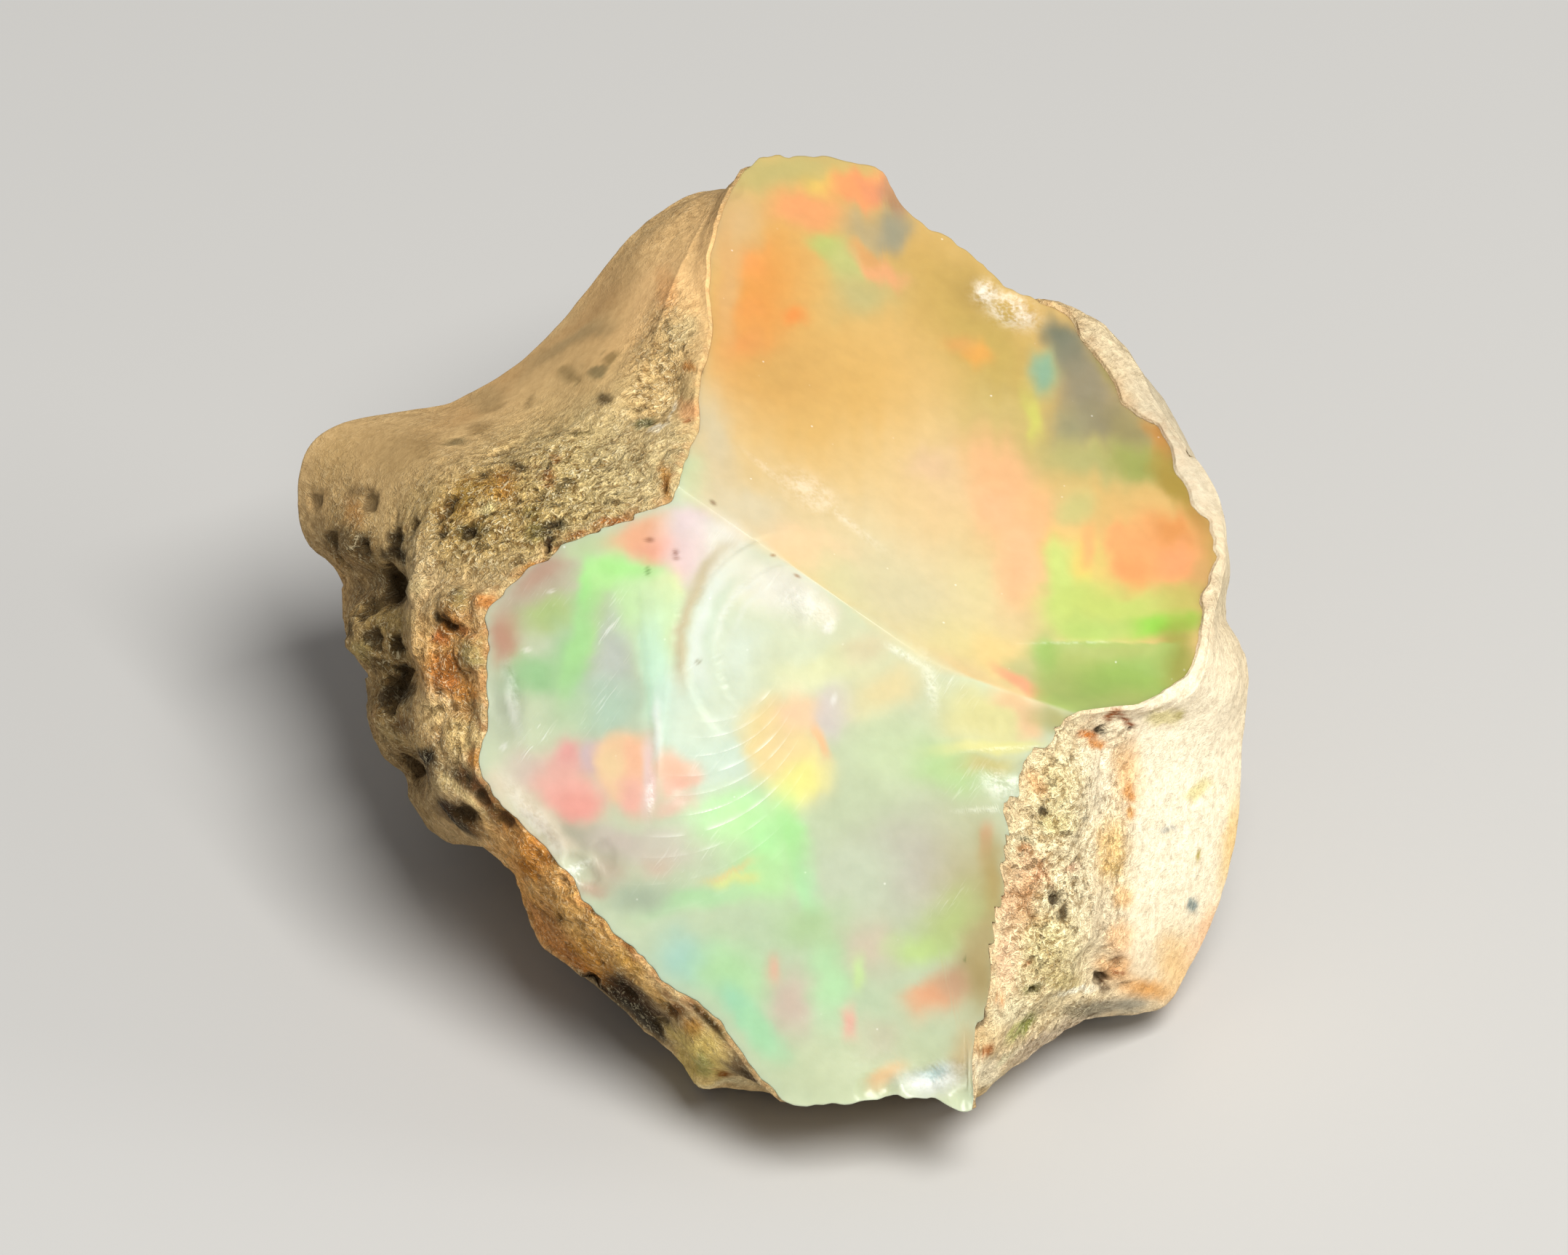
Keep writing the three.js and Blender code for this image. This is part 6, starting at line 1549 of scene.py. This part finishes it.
def opal_material():
    """Milky glass: the painted tint, clouded a little, with white marks laid over it, of which the ripples'
    white is a painted highlight.
    """
    material, face = new_material("precious opal")
    tint = attribute(face, "Tint")
    hackle_place, bruise_place, ripple_share = parts_of(attribute(face, "Marks"))
    rings = attribute(face, "Rings", "Fac")
    worn = attribute(face, "Worn", "Fac")

    cloud = grain(face, 2.2, 4)
    specks = grain(face, 9.0, 2)
    broken = grain(face, 1.1, 2).between(0.36, 0.62)
    ripple_and_sheen = rings.math("FRACT", rings) ** 9.0 * ripple_share * broken

    along = face.add("ShaderNodeMapping", {"vector_type": "TEXTURE"}, {
        "Vector": face, "Rotation": (0, 0, HACKLE_TURN), "Scale": HACKLE_SIZE})
    lines = grain(along, 1.0, 3, 0.9)
    hackle = lines.between(0.54, 0.78) * hackle_place
    frost = (specks * 0.4 + cloud * 0.6).between(0.34, 0.66) * bruise_place

    dots = face.add("ShaderNodeTexVoronoi", sockets={"Vector": face, "Scale": 1.9}, result="Distance")
    chance = grain(face, 0.9, 1).between(0.56, 0.66)
    dust = (1 - dots.between(0.03, 0.09)) * chance

    clouded = face.add("ShaderNodeValToRGB", {"stops": CLOUD_STOPS}, {"Fac": cloud})
    lit = face.mix(1.0, tint, clouded, "MULTIPLY")
    lit = face.mix(1.0, lit, (OPAL_DIM, OPAL_DIM, OPAL_DIM, 1), "MULTIPLY")
    # White over the colour: on the ripples a painted highlight of their crests; scratches, frost and dust are
    # white marks of the stone itself.
    for mark, strength in ((ripple_and_sheen, 0.75), (hackle, 0.5), (frost, 0.65), (dust, 0.35)):
        lit = face.mix((mark * strength).clamped(), lit, WHITE)

    height = cloud * 0.008 + hackle * 0.012 + frost * 0.03 + ripple_and_sheen * 0.012
    roughness = (0.27 + worn * 0.4 + frost * 0.35 + hackle * 0.15 + cloud * 0.06).clamped()
    return finish_surface(material, face, {
        "Base Color": lit,
        "Roughness": roughness,
        "IOR": 1.45,
        "Specular IOR Level": 0.4,
        "Subsurface Weight": SCATTER_SHARE,
        "Subsurface Radius": SCATTER_REACH,
        "Subsurface Scale": SCATTER_DEPTH,
        # Painted glow: a share of the colour is given off as light of its own
        "Emission Color": lit,
        "Emission Strength": PAINTED_GLOW,
    }, height)


# %% [markdown]
# ## The matrix's finish
#
# The rock is dull and gritty. Its grain is a tangle of tiny pale needles: noise that is drawn out long
# and thin in three directions, of which the highest shows. The gaps between the needles and small
# spots are painted dark, as painted shade. The pores that are real hollows in the mesh are darkened by
# the attribute, a painted shade of their depth, and iron stains come and go with noise. Where the
# grain isn't crisp, all of this is weak, as on rock that is worn or out of focus.

# %% Matrix material
RUST = (0.46, 0.17, 0.05, 1)
# painted shade in the gaps between the needles and in small spots
GAP_SHADE = (0.095, 0.06, 0.018, 1)
# painted shade deep in the pores
PIT_SHADE = (0.05, 0.03, 0.012, 1)
NEEDLE = (1.0, 0.87, 0.55, 1)
NEEDLE_LONG = 0.3
NEEDLE_THIN = 0.1
NEEDLE_TURNS = [(0.2, 0.3, 0.4), (1.3, -0.5, 1.5), (-0.9, 0.4, 2.5)]  # three directions, as angles
WORN_STOPS = [(0.3, (0.92, 0.9, 0.87, 1)), (0.7, (1.07, 1.07, 1.07, 1))]
CRISP_STOPS = [(0.4, (0.55, 0.43, 0.26, 1)), (0.49, (1.12, 1.08, 0.95, 1)), (0.6, (1.5, 1.46, 1.3, 1))]


def matrix_material():
    """Gritty rock: the painted tint times its grit, then needles, stains, and painted shade in gaps, spots
    and pores over it.
    """
    material, face = new_material("rhyolite matrix")
    tint = attribute(face, "Tint")
    hollow, stain_place, crisp = parts_of(attribute(face, "Marks"))
    rim = attribute(face, "Rim", "Fac")

    tangle = 0
    for turn in NEEDLE_TURNS:
        along = face.add("ShaderNodeMapping", {"vector_type": "TEXTURE"}, {
            "Vector": face, "Rotation": turn, "Scale": (NEEDLE_LONG, NEEDLE_THIN, NEEDLE_THIN)})
        tangle = face.math("MAXIMUM", grain(along, 1.0, 1, 1.1), tangle)
    patch = grain(face, 1.1, 3).between(0.36, 0.58)
    needles = tangle.between(0.60, 0.70) * (patch * 0.6 + 0.4)
    gaps_and_shade = 1 - tangle.between(0.52, 0.58)
    blotch = grain(face, 0.9, 4)
    grit = grain(face, 4.2, 4, 0.3, 0.62)
    spot_pits_and_shade = 1 - grain(face, 2.4, 4, 0.4, 0.6).between(0.36, 0.42)
    stain = (blotch.between(0.42, 0.62) * stain_place).clamped()
    line = (rim * grain(face, 2.5, 2).between(0.4, 0.62)).clamped()

    worn_grit = face.add("ShaderNodeValToRGB", {"stops": WORN_STOPS}, {"Fac": grit})
    crisp_grit = face.add("ShaderNodeValToRGB", {"stops": CRISP_STOPS}, {"Fac": grit})
    colour = face.mix(1.0, tint, face.mix(crisp, worn_grit, crisp_grit), "MULTIPLY")
    # painted shade in the pores: darker with depth, with ragged edges from the grit
    ragged = (hollow + grit * 0.9).between(0.65, 1.1)
    # laid over the colour: pale needles, the rust of stains and of the contact line, then painted shade in
    # the gaps, the spots and the pores
    layers = [
        (needles * crisp * 0.75, NEEDLE), (stain * 0.5, RUST), (line * 0.45, RUST),
        (gaps_and_shade * crisp * 0.55, GAP_SHADE), (spot_pits_and_shade * crisp * 0.7, GAP_SHADE), (ragged * (0.5 + crisp * 0.35), PIT_SHADE),
    ]
    for share, shade in layers:
        colour = face.mix(share.clamped(), colour, shade)

    height = (needles * 0.06 - gaps_and_shade * 0.05 - spot_pits_and_shade * 0.06) * crisp + grit * (0.012 + crisp * 0.11)
    return finish_surface(material, face, {
        "Base Color": colour,
        "Roughness": 0.9,
        "IOR": 1.4,
        "Specular IOR Level": 0.2,
    }, height)


# %% [markdown]
# ## The two pieces
#
# Each mesh gets its attributes and its material, rides on the one body of the stone, and stands for
# the CAD node of the same form.


# %% Pieces
def make_piece(name, node, grid, colours, floats, material, ridge=None):
    """A mesh object from a grid, with colour and number attributes, that replaces a CAD node."""
    mesh = closed_mesh(name, grid, ridge)
    for key, values in colours.items():
        rgba = np.ones((len(mesh.vertices), 4), np.float32)
        rgba[:, :3] = point_values(values)
        mesh.attributes.new(key, "FLOAT_COLOR", "POINT").data.foreach_set("color", rgba.ravel())
    for key, values in floats.items():
        layer = mesh.attributes.new(key, "FLOAT", "POINT")
        layer.data.foreach_set("value", point_values(values).astype(np.float32))
    mesh.materials.append(material)
    piece = bpy.data.objects.new(name, mesh)
    bpy.context.scene.collection.objects.link(piece)
    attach(piece, "root")
    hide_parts(node)


# Each mesh keeps its colour as an attribute. It holds painted light too: painted sheen, shade and glints on
# the opal, and painted shade in the rock's pits, hollows and undersides.
make_piece("opal_body", "opal", opal_grid, {"Tint": opal_tint_and_light, "Marks": opal_marks},
           {"Rings": opal_rings, "Worn": opal_worn}, opal_material(), opal_ridge)
make_piece("matrix_rind", "matrix", matrix_grid, {"Tint": matrix_tint_and_shade, "Marks": matrix_marks},
           {"Rim": matrix_rim}, matrix_material())

# %% [markdown]
# ## Floor
#
# The stone lies on a plain pale floor, so that nothing but its own shadow lies beside it. One square
# does it, large enough that no view shows its edge near the stone.

# %% Floor
HALF_FLOOR = 0.8  # in metres
PAPER = (0.5, 0.495, 0.485, 1)
floor_mesh = bpy.data.meshes.new("floor")
floor_mesh.from_pydata([(-HALF_FLOOR, -HALF_FLOOR, 0), (HALF_FLOOR, -HALF_FLOOR, 0),
                        (HALF_FLOOR, HALF_FLOOR, 0), (-HALF_FLOOR, HALF_FLOOR, 0)], [], [(0, 1, 2, 3)])
floor = bpy.data.objects.new("floor", floor_mesh)
bpy.context.scene.collection.objects.link(floor)
paper = bpy.data.materials.new("pale paper")
paper.use_nodes = True
paper.node_tree.nodes["Principled BSDF"].inputs["Base Color"].default_value = PAPER
paper.node_tree.nodes["Principled BSDF"].inputs["Roughness"].default_value = 0.9
floor.data.materials.append(paper)
print("floor of", 2 * HALF_FLOOR, "m")

# %% [markdown]
# ## Lights
#
# A large softbox above and a little to the right of the camera gives the soft, even light of the
# photograph. A smaller and weaker one brightens the right flank, and a dim white surrounding keeps
# the shadows open. Their directions are given in the face frame, as seen by someone who looks at
# the broken face.

# %% Lights
# Name, direction, distance in metres, size in metres, watts and colour
SOFTBOXES = [
    ("key", (0.22, 0.35, 0.9), 0.42, 0.18, 2.35, (1.0, 0.985, 0.95)),
    ("right", (0.95, 0.15, 0.3), 0.5, 0.15, 0.6, (1.0, 0.98, 0.94)),
]
SURROUNDING = 0.25


def face_direction(x, y, z):
    """A direction given in the face frame, as a unit direction of the world."""
    turned = to_world((x, y, z)) - to_world((0, 0, 0))
    return turned / np.linalg.norm(turned)


def softbox(name, direction, distance, size, watts, colour):
    """A square lamp at a distance from the stone along a direction, aimed at the stone."""
    lamp = bpy.data.lights.new(name, "AREA")
    lamp.shape = "SQUARE"
    lamp.size = size
    lamp.energy = watts
    lamp.color = colour
    holder = bpy.data.objects.new(name, lamp)
    holder.location = to_world((0, 0, 0)) + direction * distance
    aim = -direction
    pitch = math.acos(-aim[2])
    holder.rotation_euler = (pitch, 0, math.atan2(-aim[0], aim[1]))
    bpy.context.scene.collection.objects.link(holder)


for name, direction, distance, side_length, watts, colour in SOFTBOXES:
    softbox(name, face_direction(*direction), distance, side_length, watts, colour)
    print("softbox", name, "gives", watts, "W from", distance, "m")

world = bpy.data.worlds.new("studio")
world.use_nodes = True
world.node_tree.nodes["Background"].inputs["Color"].default_value = (1, 1, 1, 1)
world.node_tree.nodes["Background"].inputs["Strength"].default_value = SURROUNDING
bpy.context.scene.world = world

# %% [markdown]
# ## Camera
#
# The camera looks straight at the broken face from half a metre away with a long lens, so hardly any
# perspective shows. The focal length follows from how much of the face the photograph spans.

# %% Camera
CAMERA_DISTANCE = 0.5
SENSOR_WIDTH = 36.0
FRAME_WIDTH = 0.04312  # what the photograph spans at the broken face, in metres
AIM = (0.32, 0.01, 4.0)  # middle of the photograph, in the face frame

camera_data = bpy.data.cameras.new("camera")
camera_data.sensor_width = SENSOR_WIDTH
camera_data.lens = SENSOR_WIDTH * CAMERA_DISTANCE / FRAME_WIDTH
camera_data.clip_start = 0.01
camera = bpy.data.objects.new("camera", camera_data)
camera.location = to_world(AIM) + face_direction(0, 0, 1) * CAMERA_DISTANCE
camera.rotation_euler = (FACE_LEAN, 0, 0)
bpy.context.scene.collection.objects.link(camera)
bpy.context.scene.camera = camera
print("focal length", round(camera_data.lens), "mm")
